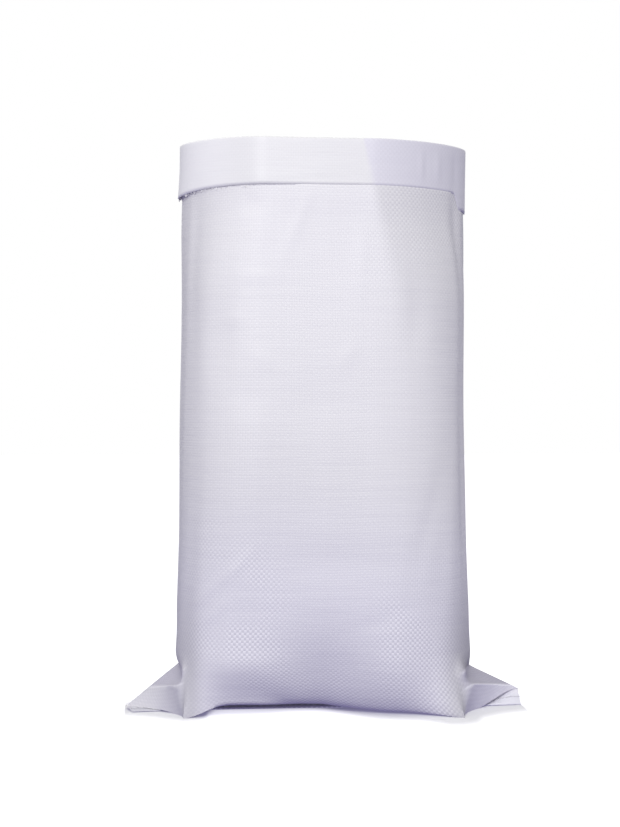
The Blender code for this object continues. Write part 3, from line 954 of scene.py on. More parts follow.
class NodeSketch:
    """Small helper to lay out a node tree."""

    def __init__(self, tree):
        self.tree = tree

    def feed(self, node, **inputs):
        """Set or link inputs, given by name with _ for a blank, or by number after an i."""
        for name, value in inputs.items():
            socket = node.inputs[int(name[1:]) if name[1:].isdigit() else name.replace("_", " ")]
            if isinstance(value, Value):
                self.tree.links.new(value.socket, socket)
            else:
                socket.default_value = value
        return node

    def add(self, kind, settings=None, **inputs):
        node = self.tree.nodes.new(kind)
        for name, value in (settings or {}).items():
            setattr(node, name, value)
        return self.feed(node, **inputs)

    def value(self, kind, settings=None, output=0, **inputs):
        """One output of a new node."""
        return Value(self, self.add(kind, settings, **inputs).outputs[output])

    def math(self, operation, *values):
        inputs = {f"i{index}": value for index, value in enumerate(values)}
        return self.value("ShaderNodeMath", {"operation": operation}, **inputs)

    def split(self, vector):
        return [Value(self, part) for part in self.add("ShaderNodeSeparateXYZ", Vector=vector).outputs]

    def place(self):
        """The point on the piece, and its x, y and z."""
        place = self.value("ShaderNodeTexCoord", output="Object")
        return place, *self.split(place)

    def mark(self, name):
        return self.value("ShaderNodeAttribute", {"attribute_name": name}, "Fac")

    def noise(self, place, scale, detail=2.0, roughness=0.5):
        inputs = {"Vector": place, "Scale": scale, "Detail": detail, "Roughness": roughness}
        return self.value("ShaderNodeTexNoise", **inputs)

    def between(self, share, first, second):
        """A number between two."""
        return self.value("ShaderNodeMix", {"data_type": "FLOAT"}, i0=share, i2=first, i3=second)

    def blend(self, share, first, second):
        """A colour between two, each a value or three numbers."""
        first, second = (each if isinstance(each, Value) else (*each, 1.0) for each in (first, second))
        return self.value("ShaderNodeMix", {"data_type": "RGBA"}, 2, i0=share, i6=first, i7=second)

    def tinted(self, colour, share, tint):
        """A colour multiplied by a tint, as far as the share says."""
        tint = self.blend(share, (1.0, 1.0, 1.0), tint)
        return self.value("ShaderNodeVectorMath", {"operation": "MULTIPLY"}, i0=colour, i1=tint)

    def scaled(self, vector, scale):
        return self.value("ShaderNodeVectorMath", {"operation": "SCALE"}, i0=vector, Scale=scale)

    def bump(self, height, strength, distance, **under):
        return self.value("ShaderNodeBump", Height=height, Strength=strength, Distance=distance, **under)


def new_material(name):
    material = bpy.data.materials.new(name)
    material.use_nodes = True
    sketch = NodeSketch(material.node_tree)
    return material, sketch, material.node_tree.nodes["Principled BSDF"]


FABRIC_IOR = 1.49
TAPE_SQUARENESS = 8.0
TAPE_DIP = 2.5


def weave(sketch, tape_width):
    """Height of a plain weave of flat tapes, whether the warp lies on top, and tapes counted both ways."""
    uv = sketch.value("ShaderNodeUVMap", {"uv_map": "flat_cut"})
    u, v = (part / tape_width for part in sketch.split(uv)[:2])
    warp_over = (u.math("FLOOR") + v.math("FLOOR")).math("PINGPONG", 1.0)

    def arched(value, power):
        return 1.0 - abs(value.math("FRACT") * 2.0 - 1.0) ** power

    warp = arched(u, TAPE_SQUARENESS) * arched(v, TAPE_DIP)
    weft = arched(v, TAPE_SQUARENESS) * arched(u, TAPE_DIP)
    return sketch.between(warp_over, weft, warp), warp_over, u, v


RIPPLE_SCALE = (14.0, 14.0, 95.0)
RIPPLE_DEPTH = 0.0012


def fabric_bump(sketch, place, height, ripple, strength, depth):
    """Relief of the tapes over fine level ripples in the taut fabric."""
    stretched = sketch.value("ShaderNodeMapping", Vector=place, Scale=RIPPLE_SCALE)
    ripples = sketch.bump(sketch.noise(stretched, scale=1.0), ripple, RIPPLE_DEPTH)
    return sketch.bump(height, strength, depth, Normal=ripples)


# Slanted line on the front, right of which the fabric gets painted shade: its place at the top, and how it
# widens
STEP_PLACE = 0.0365
STEP_WIDTH = 0.004
STEP_SPREAD = 0.16
STEP_SLANT = 0.15
STEP_TOP = 0.704
STEP_FRONT = (0.05, -0.02)
STEP_PAINTED_SHADE = (0.36, 0.62, 0.10)


def beside_step(x, y, z):
    """One right of the slanted line on the front, nothing left of it or behind."""
    below = STEP_TOP - z
    beyond = x - STEP_PLACE - below * STEP_SLANT
    width = below.math("MAXIMUM", 0.0) * STEP_SPREAD + STEP_WIDTH
    return y.rise(*STEP_FRONT) * (beyond / width).rise(0.0, 1.0)


# Where the weave's painted sheen shows clearly, as light falls on it: what each patch goes by, where it
# begins, where it is full, and how much
CLEAR_SLANT = 0.6
CLEAR_PATCHES = (
    (("slanted", 0.08, 0.0), ("x", -0.178, -0.150), ("z", 0.30, 0.10, 0.85)),
    (("x", 0.03, 0.09), ("x", 0.165, 0.13), ("z", 0.26, 0.08, 0.8)),
    (("x", 0.02, 0.08), ("z", 0.40, 0.56, 0.30)),
    (("z", 0.26, 0.04, 0.15),),
)
CLEAR_CLOUD = (0.42, 0.60)
CLEAR_LEAST = (0.30, 0.10)


def weave_clearness(x, z, cloud):
    """How far the two painted sheen tones of the tapes can be told apart."""
    measures = {"x": x, "z": z, "slanted": x + z * CLEAR_SLANT}
    in_cloud, all_over = CLEAR_LEAST
    clear = 0.0
    for patch in CLEAR_PATCHES:
        clear = clear + math.prod(measures[name].rise(*limits) for name, *limits in patch)
    return (clear * (cloud.rise(*CLEAR_CLOUD) + in_cloud) + all_over).math("MINIMUM", 1.0)


# Outside: weave's depth as a share of a tape's width, roughness, and what tapes and clouds add to the shade
WOVEN_DEPTH = 0.12
WOVEN_ROUGHNESS = 0.40
CLOUD_ROUGHNESS = 0.16
TAPE_SHADE = 0.020
CLOUD_SHADE = 0.06
LEAST_SHADE = 0.962
HEM_PALE = 0.7
HEM_PALE_FADE = 0.02
# Right side crease: a painted highlight along it, how near to it and how much lighter, and from which
# height up
SIDE_CREASE_REACH = 0.007
SIDE_CREASE_PAINTED_HIGHLIGHT = 0.20
SIDE_CREASE_HEIGHTS = (0.26, 0.40)
# Painted light and shade at the foot, and a lavender painted shade tint: heights or places across, and how
# much
UPPER_FACET_PAINTED_SHADE = (0.18, 0.38)
UPPER_FACET_PAINTED_SHADE_PLACES = (-0.17, 0.17)
CREASE_PAINTED_HIGHLIGHT = 0.16
CORNER_PAINTED_SHADE_HEIGHTS = (0.20, 0.03)
CORNER_PAINTED_SHADE_RIGHT = (0.125, 0.172, 0.38)
CORNER_PAINTED_SHADE_LEFT = (-0.150, -0.172, 0.24)
FACET_PAINTED_LIGHT = (0.17, 0.19, 0.10)
LOW_PAINTED_SHADE_TINT = (0.965, 0.960, 1.02)
LOW_PAINTED_SHADE_TINT_HEIGHTS = (0.32, 0.12)
EAR_PAINTED_SHADE_TINT = (0.985, 0.965, 1.045)


def foot_painted_shading(x, z, in_ear, upper, folded):
    """Painted shade at the low corners and on the ears' upper facets, painted light on the right ear's
    lower facet, and a painted highlight along the crease across each ear.
    """
    least, most = UPPER_FACET_PAINTED_SHADE
    # Painted shade on the upper facets of the ears, darker at the right ear
    painted_upper_shade = upper * x.rise(*UPPER_FACET_PAINTED_SHADE_PLACES, most - least) + upper * least
    # Painted highlight along the crease across each ear
    shade = 1.0 + folded**3.0 * CREASE_PAINTED_HIGHLIGHT - painted_upper_shade
    # Painted light on the lower facets of the right ear
    facet = in_ear * (1.0 - upper)
    # Painted shade at the low corners of the body, fading on the ears
    low = z.rise(*CORNER_PAINTED_SHADE_HEIGHTS)
    right = low * x.rise(*CORNER_PAINTED_SHADE_RIGHT) * (1.0 - in_ear)
    left = low * x.rise(*CORNER_PAINTED_SHADE_LEFT) * (1.0 - in_ear * 0.5)
    return shade * (1.0 + facet * x.rise(*FACET_PAINTED_LIGHT)) * (1.0 - (left + right))


def woven_material(name, sack, cloth):
    """Outside of the sack: a plain weave of flat tapes with a painted sheen, the paler folded hem, and
    painted light and shade at the foot, the right side crease and right of the slanted line.
    """
    material, sketch, shader = new_material(name)
    height, warp_over, u, v = weave(sketch, cloth.tape_width)
    place, x, y, z = sketch.place()
    cloud = sketch.noise(place, scale=9.0, detail=4.0, roughness=0.55)
    in_ear, upper, folded = (sketch.mark(mark) for mark in ("ear", "ear_upper", "ear_crease"))

    even = [(warp + weft) / 2.0 for warp, weft in zip(cloth.warp_sheen_colour, cloth.weft_sheen_colour, strict=True)]
    # Painted sheen: lit warp and shaded weft
    tapes = sketch.blend(warp_over, cloth.weft_sheen_colour, cloth.warp_sheen_colour)
    woven = sketch.blend(weave_clearness(x, z, cloud), even, tapes)
    hem = (v * cloth.tape_width).math("LESS_THAN", sack.hem_width)
    at_ends = abs(x).rise(sack.corner_x, sack.corner_x + HEM_PALE_FADE, HEM_PALE)
    woven = sketch.blend(hem * at_ends, woven, cloth.hem_colour)
    # Lavender painted shade tint low down and on the ears' upper facets
    woven = sketch.tinted(woven, z.rise(*LOW_PAINTED_SHADE_TINT_HEIGHTS), LOW_PAINTED_SHADE_TINT)
    woven = sketch.tinted(woven, upper, EAR_PAINTED_SHADE_TINT)

    tape = sketch.between(warp_over, v.math("FLOOR"), u.math("FLOOR"))
    shade = sketch.value("ShaderNodeTexWhiteNoise", {"noise_dimensions": "1D"}, W=tape) * TAPE_SHADE
    shade = shade + cloud * CLOUD_SHADE + LEAST_SHADE
    # Painted highlight along the right side crease
    from_crease = abs(u - sack.flat_width / cloth.tape_width)
    at_crease = from_crease.rise(SIDE_CREASE_REACH / cloth.tape_width, 0.0, SIDE_CREASE_PAINTED_HIGHLIGHT)
    shade = shade * (1.0 + at_crease * z.rise(*SIDE_CREASE_HEIGHTS))
    shade = shade * foot_painted_shading(x, z, in_ear, upper, folded)
    # Painted shade right of the slanted line on the front
    shade = shade * (1.0 - beside_step(x, y, z) * z.rise(*STEP_PAINTED_SHADE))

    depth = WOVEN_DEPTH * cloth.tape_width
    sketch.feed(
        shader,
        Base_Color=sketch.scaled(woven, shade),
        Roughness=cloud * CLOUD_ROUGHNESS + WOVEN_ROUGHNESS,
        Normal=fabric_bump(sketch, place, height, ripple=0.35, strength=0.4, depth=depth),
        IOR=FABRIC_IOR,
        Specular_IOR_Level=0.3,
    )
    return material


# Inside: the same, how far warp and weft are apart as painted sheen, where painted light makes it lighter,
# and where the dust begins and ends
FILM_DEPTH = 0.1
FILM_ROUGHNESS = 0.30
FILM_CLOUD_ROUGHNESS = 0.14
FILM_CLOUD_SHADE = 0.05
FILM_LEAST_SHADE = 0.97
TAPES_SHEEN_APART = 0.015
FILM_PAINTED_LIGHT = 1.25
FILM_PAINTED_LIGHT_PLACES = (-0.085, -0.175)
DUST_HEIGHTS = (0.624, 0.600, 0.8)
DUST_FROM_HEIGHTS = (0.56, 0.58)
DUST_WANDER = 0.03


def film_material(name, cloth, fill):
    """Coated inside of the sack: the weave shows faintly through, with cement dust above the fill, painted
    light at the cuff's left end and painted shade right of the slanted line.
    """
    material, sketch, shader = new_material(name)
    height, warp_over, _, _ = weave(sketch, cloth.tape_width)
    place, x, y, z = sketch.place()
    cloud = sketch.noise(place, scale=14.0, detail=4.0, roughness=0.6)

    def tones(colour, *scales):
        return [[scale * part for part in colour] for scale in scales]

    # Painted light at the cuff's left end
    under, film, pale = tones(cloth.film_colour, 1.0 - TAPES_SHEEN_APART, 1.0, FILM_PAINTED_LIGHT)
    coat = sketch.blend(x.rise(*FILM_PAINTED_LIGHT_PLACES), sketch.blend(warp_over, under, film), pale)
    # Right of the slanted line the inside takes the painted shade colour
    weft, warp = tones(cloth.painted_shade_film_colour, 1.0 - TAPES_SHEEN_APART, 1.0 + TAPES_SHEEN_APART)
    coat = sketch.blend(beside_step(x, y, z), coat, sketch.blend(warp_over, weft, warp))
    level = z + (cloud - 0.5) * DUST_WANDER
    dust = level.rise(*DUST_HEIGHTS) * level.rise(*DUST_FROM_HEIGHTS)
    dusty = sketch.blend(dust, coat, fill.dry_colour)
    depth = FILM_DEPTH * cloth.tape_width
    sketch.feed(
        shader,
        Base_Color=sketch.scaled(dusty, cloud * FILM_CLOUD_SHADE + FILM_LEAST_SHADE),
        Roughness=cloud * FILM_CLOUD_ROUGHNESS + FILM_ROUGHNESS,
        Normal=fabric_bump(sketch, place, height, ripple=0.3, strength=0.15, depth=depth),
        IOR=FABRIC_IOR,
        Specular_IOR_Level=0.35,
    )
    return material


def tape_material(name, cloth):
    """Loose tape ends at the raw edge."""
    material, sketch, shader = new_material(name)
    place, *_ = sketch.place()
    streak = sketch.noise(place, scale=420.0)
    colour = sketch.blend(streak, cloth.weft_sheen_colour, cloth.warp_sheen_colour)
    relief = sketch.bump(streak, strength=0.3, distance=0.0001)
    sketch.feed(shader, Base_Color=colour, Roughness=0.42, Normal=relief)
    return material


# Painted shade between the turns of the twist
TWIST_PAINTED_SHADE = 0.8


def thread_material(name, colour):
    """Spun thread, with painted shade between the turns of its twist."""
    material, sketch, shader = new_material(name)
    place, *_ = sketch.place()
    twist = sketch.value("ShaderNodeTexWave", {"bands_direction": "DIAGONAL"}, 1, Vector=place, Scale=900.0)
    spun = sketch.blend(twist, [TWIST_PAINTED_SHADE * part for part in colour], colour)
    relief = sketch.bump(twist, strength=0.6, distance=0.0002)
    sketch.feed(shader, Base_Color=spun, Roughness=0.7, Normal=relief)
    return material


LUMP_SHARE = 0.7
GRAIN_SHARE = 0.4


def cement_material(name, fill):
    """Loose grey powder with denser lumps."""
    material, sketch, shader = new_material(name)
    place, *_ = sketch.place()
    lumps = sketch.noise(place, scale=45.0, detail=6.0, roughness=0.6)
    grain = sketch.noise(place, scale=900.0, detail=3.0, roughness=0.7)
    tone = lumps * LUMP_SHARE + grain * GRAIN_SHARE
    colour = sketch.blend(tone, fill.lump_colour, fill.dry_colour)
    relief = sketch.bump(tone, strength=0.8, distance=0.0015)
    sketch.feed(shader, Base_Color=colour, Roughness=0.95, Normal=relief)
    return material


# What repeats along a line


class TreeSketch(NodeSketch):
    """A Geometry Nodes tree with named inputs that takes a mesh and gives a mesh."""

    def __init__(self, name):
        super().__init__(bpy.data.node_groups.new(name, "GeometryNodeTree"))
        for way in ("INPUT", "OUTPUT"):
            self.tree.interface.new_socket("Geometry", in_out=way, socket_type="NodeSocketGeometry")
        self.inner = self.tree.nodes.new("NodeGroupInput")
        self.outer = self.tree.nodes.new("NodeGroupOutput")
        self.line = Value(self, self.inner.outputs[0])
        self.values = {}

    def size(self, name, value):
        """A named input with its value."""
        kind = "NodeSocketInt" if isinstance(value, int) else "NodeSocketFloat"
        socket = self.tree.interface.new_socket(name, in_out="INPUT", socket_type=kind)
        socket.default_value = value
        self.values[socket.identifier] = value
        return Value(self, self.inner.outputs[name])

    def random(self, kind, seed, **limits):
        return self.value("FunctionNodeRandomValue", {"data_type": kind}, "Value", Seed=seed, **limits)

    def copies(self, points, piece, turn, sizes, **chosen):
        """The piece at each point, turned and stretched."""
        scale = self.value("ShaderNodeCombineXYZ", X=sizes[0], Y=sizes[1], Z=sizes[2])
        inputs = {"Points": points, "Instance": piece, "Rotation": turn, "Scale": scale}
        return self.value("GeometryNodeInstanceOnPoints", **inputs, **chosen)

    def finish(self, instances, material):
        real = self.value("GeometryNodeRealizeInstances", Geometry=instances)
        painted = self.value("GeometryNodeSetMaterial", Geometry=real, Material=material)
        self.feed(self.outer, i0=painted)

    def grow(self, name, mesh, material):
        """Run the tree on a mesh and keep the result as a plain object."""
        seed = linked(name + "_line", mesh)
        modifier = seed.modifiers.new(name, "NODES")
        modifier.node_group = self.tree
        for identifier, value in self.values.items():
            modifier[identifier] = value
        grown = bpy.data.meshes.new_from_object(seed.evaluated_get(bpy.context.evaluated_depsgraph_get()))
        seed.modifiers.clear()
        bpy.data.objects.remove(seed, do_unlink=True)
        if not grown.polygons:
            raise RuntimeError(f"nothing grew for {name}")
        grown.name = name
        grown.materials.clear()
        grown.materials.append(material)
        return linked(name, grown)


def line_mesh(name, places, joined):
    """Vertices along a line, joined by edges where asked."""
    mesh = bpy.data.meshes.new(name)
    ahead = range(1, len(places)) if joined else ()
    mesh.from_pydata(places.tolist(), [(end - 1, end) for end in ahead], [])
    return mesh


# Stitches: how far apart, how much of that the thread covers, and the flatter thread across
STITCH_PITCH = 0.0075
STITCH_SHARE = 0.86
THREAD_WIDTH = 0.0011
THREAD_FROM_EDGE = 0.012
THREAD_COLOUR = (0.86, 0.85, 0.88)
CROSS_SHARE = 0.34
CROSS_FLATNESS = 0.8


def stitch_tree(material):
    """Stitches end to end along a line, with the short cross thread between them."""
    tree = TreeSketch("stitches")
    pitch = tree.size("Stitch Pitch", STITCH_PITCH)
    share = tree.size("Stitch Share", STITCH_SHARE)
    width = tree.size("Thread Width", THREAD_WIDTH)
    curve = tree.value("GeometryNodeMeshToCurve", Mesh=tree.line)
    points = tree.value("GeometryNodeResampleCurve", {"mode": "LENGTH"}, Curve=curve, Length=pitch)
    tangent = tree.value("GeometryNodeInputTangent")
    turn = tree.value("FunctionNodeAlignRotationToVector", {"axis": "X"}, Vector=tangent)
    thread = tree.value("GeometryNodeMeshUVSphere", Segments=8, Rings=6, Radius=0.5)
    ahead = tree.scaled(tangent, pitch * 0.5)
    between = tree.value("GeometryNodeSetPosition", Geometry=points, Offset=ahead)
    both = tree.add("GeometryNodeJoinGeometry")
    tree.feed(both, i0=tree.copies(points, thread, turn, (pitch * share, width, width)))
    cross = (width, pitch * CROSS_SHARE, width * CROSS_FLATNESS)
    tree.feed(both, i0=tree.copies(between, thread, turn, cross))
    tree.finish(Value(tree, both.outputs[0]), material)
    return tree


# Tape ends: their lengths, share of places that have one, shares of a tape's width, and how far askew
TAPE_END_SEED = 5
TAPE_END_SHORTEST = 0.0008
TAPE_END_LONGEST = 0.0036
TAPE_END_THICKNESS = 0.00015
TAPE_END_SHARE = 0.72
TAPE_END_WIDTHS = (0.35, 0.95)
TAPE_END_ASKEW = (0.25, 0.4, 0.3)
TAPE_END_HANG = (0.0, 0.0, -0.4)


def tape_end_tree(material, tape_width):
    """Loose tape ends that hang from a raw edge, of unlike lengths and a little askew."""
    tree = TreeSketch("tape_ends")
    width = tree.size("Tape Width", tape_width)
    shortest = tree.size("Shortest End", TAPE_END_SHORTEST)
    longest = tree.size("Longest End", TAPE_END_LONGEST)
    thickness = tree.size("Tape Thickness", TAPE_END_THICKNESS)
    seed = tree.size("Seed", TAPE_END_SEED)
    box = tree.value("GeometryNodeMeshCube", Size=(1.0, 1.0, 1.0))
    strip = tree.value("GeometryNodeTransform", Geometry=box, Translation=TAPE_END_HANG)
    length = tree.random("FLOAT", seed, Min=shortest, Max=longest)
    least, most = TAPE_END_WIDTHS
    narrow = tree.random("FLOAT", seed + 1.0, Min=least, Max=most)
    least = tuple(-angle for angle in TAPE_END_ASKEW)
    askew = tree.random("FLOAT_VECTOR", seed + 2.0, Min=least, Max=TAPE_END_ASKEW)
    chosen = tree.random("BOOLEAN", seed + 3.0, Probability=TAPE_END_SHARE)
    facing = tree.value("GeometryNodeInputNamedAttribute", {"data_type": "FLOAT_VECTOR"}, Name="outward")
    turn = tree.value("FunctionNodeAlignRotationToVector", {"axis": "Y", "pivot_axis": "Z"}, Vector=facing)
    leaning = tree.value("FunctionNodeEulerToRotation", Euler=askew)
    settings = {"rotation_space": "LOCAL"}
    turn = tree.value("FunctionNodeRotateRotation", settings, Rotation=turn, Rotate_By=leaning)
    sizes = (width * narrow, thickness, length)
    tree.finish(tree.copies(tree.line, strip, turn, sizes, Selection=chosen), material)
    return tree


# Operators


def finish_piece(obj, node=None):
    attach(obj, "root")
    if node:
        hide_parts(node)


class CEMENTBAG_OT_tape_ends(bpy.types.Operator):
    """Make the loose tape ends at the raw edge of the cuff"""

    bl_idname = "cement_bag.tape_ends"
    bl_label = "Make Tape Ends"

    def execute(self, context):
        sack, cloth = context.scene.bag_sack, context.scene.bag_cloth
        edge = np.array([mouth_rings(sack)[-1]])
        outward = outward_of(edge)[0, :-1]
        places = edge[0, :-1] - outward * sack.fabric_thickness / 2.0
        mesh = line_mesh("cuff_edge", places, False)
        facing = mesh.attributes.new("outward", "FLOAT_VECTOR", "POINT")
        facing.data.foreach_set("vector", outward.ravel())
        material = tape_material("tape_ends", cloth)
        obj = tape_end_tree(material, cloth.tape_width).grow("tape_ends", mesh, material)
        finish_piece(obj)
        return {"FINISHED"}


class CEMENTBAG_OT_stitches(bpy.types.Operator):
    """Make the chain stitches that close the hem"""

    bl_idname = "cement_bag.stitches"
    bl_label = "Make Stitches"

    def execute(self, context):
        sack = context.scene.bag_sack
        across, _ = tube_columns(sack)
        front = across[: sack.columns // 2 + 1]
        side = -np.ones(len(front))
        thickness = sack.hem_thickness + THREAD_WIDTH
        places = hem_ring(sack, front, side, sack.hem_width - THREAD_FROM_EDGE, thickness)
        mesh = line_mesh("stitch_line", places, True)
        material = thread_material("thread", THREAD_COLOUR)
        obj = stitch_tree(material).grow("closing_stitches", mesh, material)
        obj.data.shade_smooth()
        finish_piece(obj, "closing_thread")
        return {"FINISHED"}


class CEMENTBAG_OT_sack(bpy.types.Operator):
    """Make the woven sack with its hem, ears, body and cuff"""

    bl_idname = "cement_bag.sack"
    bl_label = "Make Woven Sack"

    def execute(self, context):
        sack, cloth = context.scene.bag_sack, context.scene.bag_cloth
        rings, flat, marks = sack_rings(sack)
        around = np.arange(sack.columns + 1) / sack.columns * 2.0 * sack.flat_width
        outside = woven_material("sack_weave", sack, cloth)
        inside = film_material("sack_film", cloth, context.scene.bag_fill)
        obj = skin("sack", rings, flat, around, outside, inside, sack.fabric_thickness, marks)
        finish_piece(obj, "woven_sack")
        return {"FINISHED"}


# Powder: how high and how wide its heaps, lumps and crumbs are
POWDER_RELIEF = ((0.0032, 0.055), (0.0012, 0.016), (0.0005, 0.006))


def powder_height(ring):
    """Soft heaps and small lumps on top of the powder."""
    heights = []
    for x, y, _ in ring:
        spot = Vector((x, y, 0.0))
        heights.append(sum(high * noise.noise(spot / wide) for high, wide in POWDER_RELIEF))
    return np.array(heights)


# Cement: how far inside the fabric it stays, low down and beside the ears, where its top is, and its rings
FILL_INSET = 0.008
FILL_POINT = 0.010
FILL_FOOT_RINGS = 10
FILL_GAP = 0.0012
FILL_EAR_REACH = 0.045
FILL_EAR_RISE = 0.050
FILL_EAR_INSET = 0.016
FILL_EDGE = 0.590
FILL_CROWN = 0.015
FILL_FLOOR = 0.016
FILL_FLOOR_SHARES = (1.0, 0.6, 0.3, 0.0)
FILL_WALL_RINGS = 40
CROWN_RINGS = 70


def fill_inset(sack, heights):
    """How far the powder lies inside the wall: a small gap, and more low down beside the ears."""
    across, _ = tube_columns(sack)
    beside_ears = smooth_step(np.abs(across), sack.corner_x - FILL_EAR_REACH, sack.corner_x)
    low = 1.0 - smooth_step(np.asarray(heights), sack.ear_top, sack.ear_top + FILL_EAR_RISE)
    return FILL_GAP + FILL_EAR_INSET * low[:, None] * beside_ears[None, :]


def fill_foot(sack, ring):
    """Rings, clear of the ears, from the body of the powder down to a line along its flat foot."""
    across, side = tube_columns(sack)
    half = sack.flat_width / 2.0
    corner_x, corner_y = sack.corner_x - FILL_INSET, sack.corner_y - FILL_INSET
    ear = np.clip((np.abs(across) - corner_x) / (half - corner_x), 0.0, 1.0)
    inset = base_inset(sack, across, side) * (1.0 - ear)
    edge_x = np.clip(across, -corner_x, corner_x) + np.sign(across) * FILL_POINT * ear
    edge_y = side * (corner_y * (1.0 - ear) - inset)
    floor = []
    for share in FILL_FLOOR_SHARES:
        line = np.zeros_like(ring)
        line[:, 0], line[:, 1] = turned(edge_x, edge_y * share, sack.base_turn)
        line[:, 2] = FILL_FLOOR
        floor.append(line)
    edge = floor[0]
    curled = edge.copy()
    curled[:, 1] += side * inset * ARC_PULL
    below = ring - body_slope(sack, sack.ear_top) * (sack.ear_top - FILL_FLOOR) / 2.0
    swing, below = leaned(curl_share(sack), edge, ring, curled, below)
    shares = [1.0 - step / FILL_FOOT_RINGS for step in range(1, FILL_FOOT_RINGS)]
    return [arc(edge, swing, below, ring, share) for share in shares] + floor


class CEMENTBAG_OT_fill(bpy.types.Operator):
    """Make the cement that fills the sack"""

    bl_idname = "cement_bag.fill"
    bl_label = "Make Cement Fill"

    def execute(self, context):
        sack, fill = context.scene.bag_sack, context.scene.bag_fill
        rings = []
        top = body_rings(sack, [FILL_EDGE], -FILL_GAP)[0]
        for step in range(CROWN_RINGS):
            share = step / CROWN_RINGS
            ring = top * np.array([share, share, 1.0])
            ring[:, 2] += FILL_CROWN * (1.0 - share**2) + powder_height(ring)
            rings.append(ring)
        heights = np.linspace(FILL_EDGE, sack.ear_top, FILL_WALL_RINGS)
        rings += list(body_rings(sack, heights, -fill_inset(sack, heights)))
        rings += fill_foot(sack, rings[-1])
        rings = np.array(rings)
        material = cement_material("cement", fill)
        obj = skin("cement", rings, rings[:, :, 2], np.zeros(sack.columns + 1), material)
        finish_piece(obj, "cement_fill")
        return {"FINISHED"}


# Painted shadow on the floor, where its glow is dimmed: how far it reaches, where it is full, and where and
# by how much each end is wider
SHADOW_REACH = 0.060
SHADOW_FULL = 0.004
SHADOW_WIDER_RIGHT = (-0.05, 0.06, 0.026)
SHADOW_WIDER_LEFT = (-0.16, -0.20, 0.014)
SHADOW_NARROW = 30.0
UNDER_LIP_SLOPE = 0.165
OUTLINE_POINTS = 24


def outline_curve(sketch, share, places, half_depth):
    """Curve that gives, for each share of the width, how far forward or back the sack's edge lies."""
    curve = sketch.add("ShaderNodeFloatCurve", Value=share)
    points = curve.mapping.curves[0].points
    along = (places[:, 0] - places[0, 0]) / (places[-1, 0] - places[0, 0])
    for step in range(OUTLINE_POINTS + 1):
        at = step / OUTLINE_POINTS
        height = 0.5 + 0.5 * np.interp(at, along, places[:, 1]) / half_depth
        if step in (0, OUTLINE_POINTS):
            points[min(step, 1)].location = (at, height)
        else:
            points.new(at, height)
    curve.mapping.update()
    return (Value(sketch, curve.outputs[0]) - 0.5) * (2.0 * half_depth)


def away_from_sack(sketch, sack):
    """Distance on the floor from the outline of the sack's base and ears."""
    edge = floor_edge(sack)
    edge[:, 1] += lip(sack, *tube_columns(sack), 1.0) / UNDER_LIP_SLOPE
    middle = sack.columns // 2
    half_depth = float(np.abs(edge[:, 1]).max())
    _, x, y, _ = sketch.place()
    share = x / sack.flat_width + 0.5
    front = outline_curve(sketch, share, edge[: middle + 1], half_depth)
    back = outline_curve(sketch, share, edge[middle:][::-1], half_depth)
    outside = (front - y).math("MAXIMUM", y - back).math("MAXIMUM", 0.0)
    past_tips = (abs(x) - sack.flat_width / 2.0).math("MAXIMUM", 0.0) * SHADOW_NARROW
    away = (outside * outside + past_tips * past_tips).math("SQRT")
    return away - (x.rise(*SHADOW_WIDER_RIGHT) + x.rise(*SHADOW_WIDER_LEFT))


WHITE = (1.0, 1.0, 1.0)
FLOOR_HALF_SIZE = 12.0
FLOOR_COLOUR = (0.9, 0.9, 0.9, 1.0)
# Room light: from front to backdrop, and from below the horizon up
ROOM_FADE = (-0.3, 0.3)
HORIZON_FADE = (-0.25, 0.0)


def make_floor(sack, stage):
    """Lit floor with the sack's soft shadow, partly real and partly painted by dimming the floor's glow
    near the sack. It lights nothing by itself.
    """
    mesh = bpy.data.meshes.new("floor")
    work = bmesh.new()
    bmesh.ops.create_grid(work, x_segments=1, y_segments=1, size=FLOOR_HALF_SIZE)
    work.to_mesh(mesh)
    work.free()
    material, sketch, shader = new_material("pale_floor")
    # Painted shadow: less glow near the sack's outline
    near = away_from_sack(sketch, sack).rise(SHADOW_REACH, SHADOW_FULL, stage.floor_glow - stage.near_glow)
    sketch.feed(
        shader,
        Base_Color=FLOOR_COLOUR,
        Roughness=0.9,
        Emission_Color=(*WHITE, 1.0),
        Emission_Strength=stage.floor_glow - near,
    )
    mesh.materials.append(material)
    floor = linked("floor", mesh)
    floor.visible_diffuse = False
    floor.visible_glossy = False
    return floor


def make_world(stage):
    """Light from the room, the backdrop and below. The camera sees plain white."""
    world = bpy.data.worlds.new("studio")
    world.use_nodes = True
    sketch = NodeSketch(world.node_tree)
    _, y, z = sketch.split(sketch.value("ShaderNodeTexCoord", output="Generated"))
    room = sketch.blend(y.rise(*ROOM_FADE), stage.above, stage.behind)
    sky = sketch.blend(z.rise(*HORIZON_FADE), stage.below, room)
    seen = sketch.value("ShaderNodeLightPath", output="Is Camera Ray")
    sketch.feed(world.node_tree.nodes["Background"], Color=sketch.blend(seen, sky, WHITE))
    return world


def make_key_light(sack, stage):
    light = bpy.data.lights.new("key_light", "AREA")
    light.size = stage.key_size
    light.energy = stage.key_power
    lamp = linked("key_light", light)
    lamp.visible_camera = False
    lamp.location = stage.key_place
    aim = Vector((0.0, 0.0, sack.height / 2.0)) - lamp.location
    lamp.rotation_euler = aim.to_track_quat("-Z", "Y").to_euler()


def make_camera(stage):
    camera = bpy.data.cameras.new("camera")
    camera.lens = stage.lens
    eye = linked("camera", camera)
    turn, distance, aside = stage.camera_turn, stage.camera_distance, stage.camera_aside
    x, y = turned(-aside, -distance, -turn)
    eye.location = (x, y, stage.camera_height)
    eye.rotation_euler = (math.radians(90.0), 0.0, -turn)
    return eye


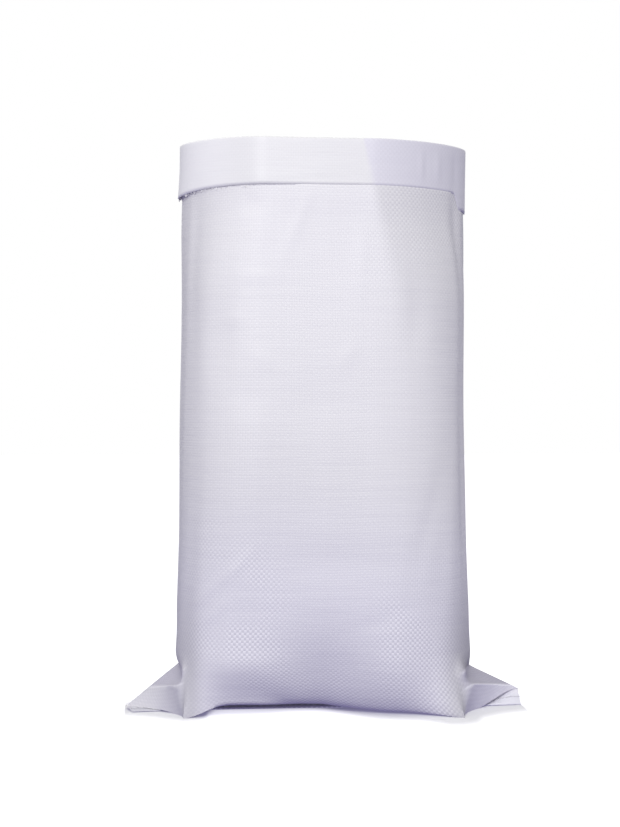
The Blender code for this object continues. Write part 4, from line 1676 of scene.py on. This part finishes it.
class CEMENTBAG_OT_stage(bpy.types.Operator):
    """Make the floor, the light and the camera"""

    bl_idname = "cement_bag.stage"
    bl_label = "Make Stage"

    def execute(self, context):
        scene = context.scene
        sack, stage = scene.bag_sack, scene.bag_stage
        floor = make_floor(sack, stage)
        scene.world = make_world(stage)
        make_key_light(sack, stage)
        scene.camera = make_camera(stage)
        scene.view_settings.view_transform = "Standard"
        return {"FINISHED"}


class CEMENTBAG_PT_panel(bpy.types.Panel):
    """Cement bag panel in the sidebar"""

    bl_idname = "CEMENTBAG_PT_panel"
    bl_label = "Cement Bag"
    bl_space_type = "VIEW_3D"
    bl_region_type = "UI"
    bl_category = "Cement Bag"

    def draw(self, context):
        for group in ("bag_sack", "bag_cloth", "bag_fill", "bag_stage"):
            box = self.layout.box()
            settings = getattr(context.scene, group)
            for name in settings.__annotations__:
                box.prop(settings, name)
        for operator in OPERATORS:
            self.layout.operator(operator.bl_idname)


OPERATORS = (
    CEMENTBAG_OT_tape_ends,
    CEMENTBAG_OT_sack,
    CEMENTBAG_OT_stitches,
    CEMENTBAG_OT_fill,
    CEMENTBAG_OT_stage,
)
GROUPS = {
    "bag_sack": SackProperties,
    "bag_cloth": ClothProperties,
    "bag_fill": FillProperties,
    "bag_stage": StageProperties,
}


def register():
    for group in GROUPS.values():
        bpy.utils.register_class(group)
    for name, group in GROUPS.items():
        setattr(bpy.types.Scene, name, PointerProperty(type=group))
    for operator in OPERATORS:
        bpy.utils.register_class(operator)
    bpy.utils.register_class(CEMENTBAG_PT_panel)


def unregister():
    bpy.utils.unregister_class(CEMENTBAG_PT_panel)
    for operator in reversed(OPERATORS):
        bpy.utils.unregister_class(operator)
    for name, group in GROUPS.items():
        delattr(bpy.types.Scene, name)
        bpy.utils.unregister_class(group)


def main():
    register()
    bpy.ops.cement_bag.tape_ends()
    bpy.ops.cement_bag.sack()
    bpy.ops.cement_bag.stitches()
    bpy.ops.cement_bag.fill()
    bpy.ops.cement_bag.stage()


if __name__ == "__main__":
    main()
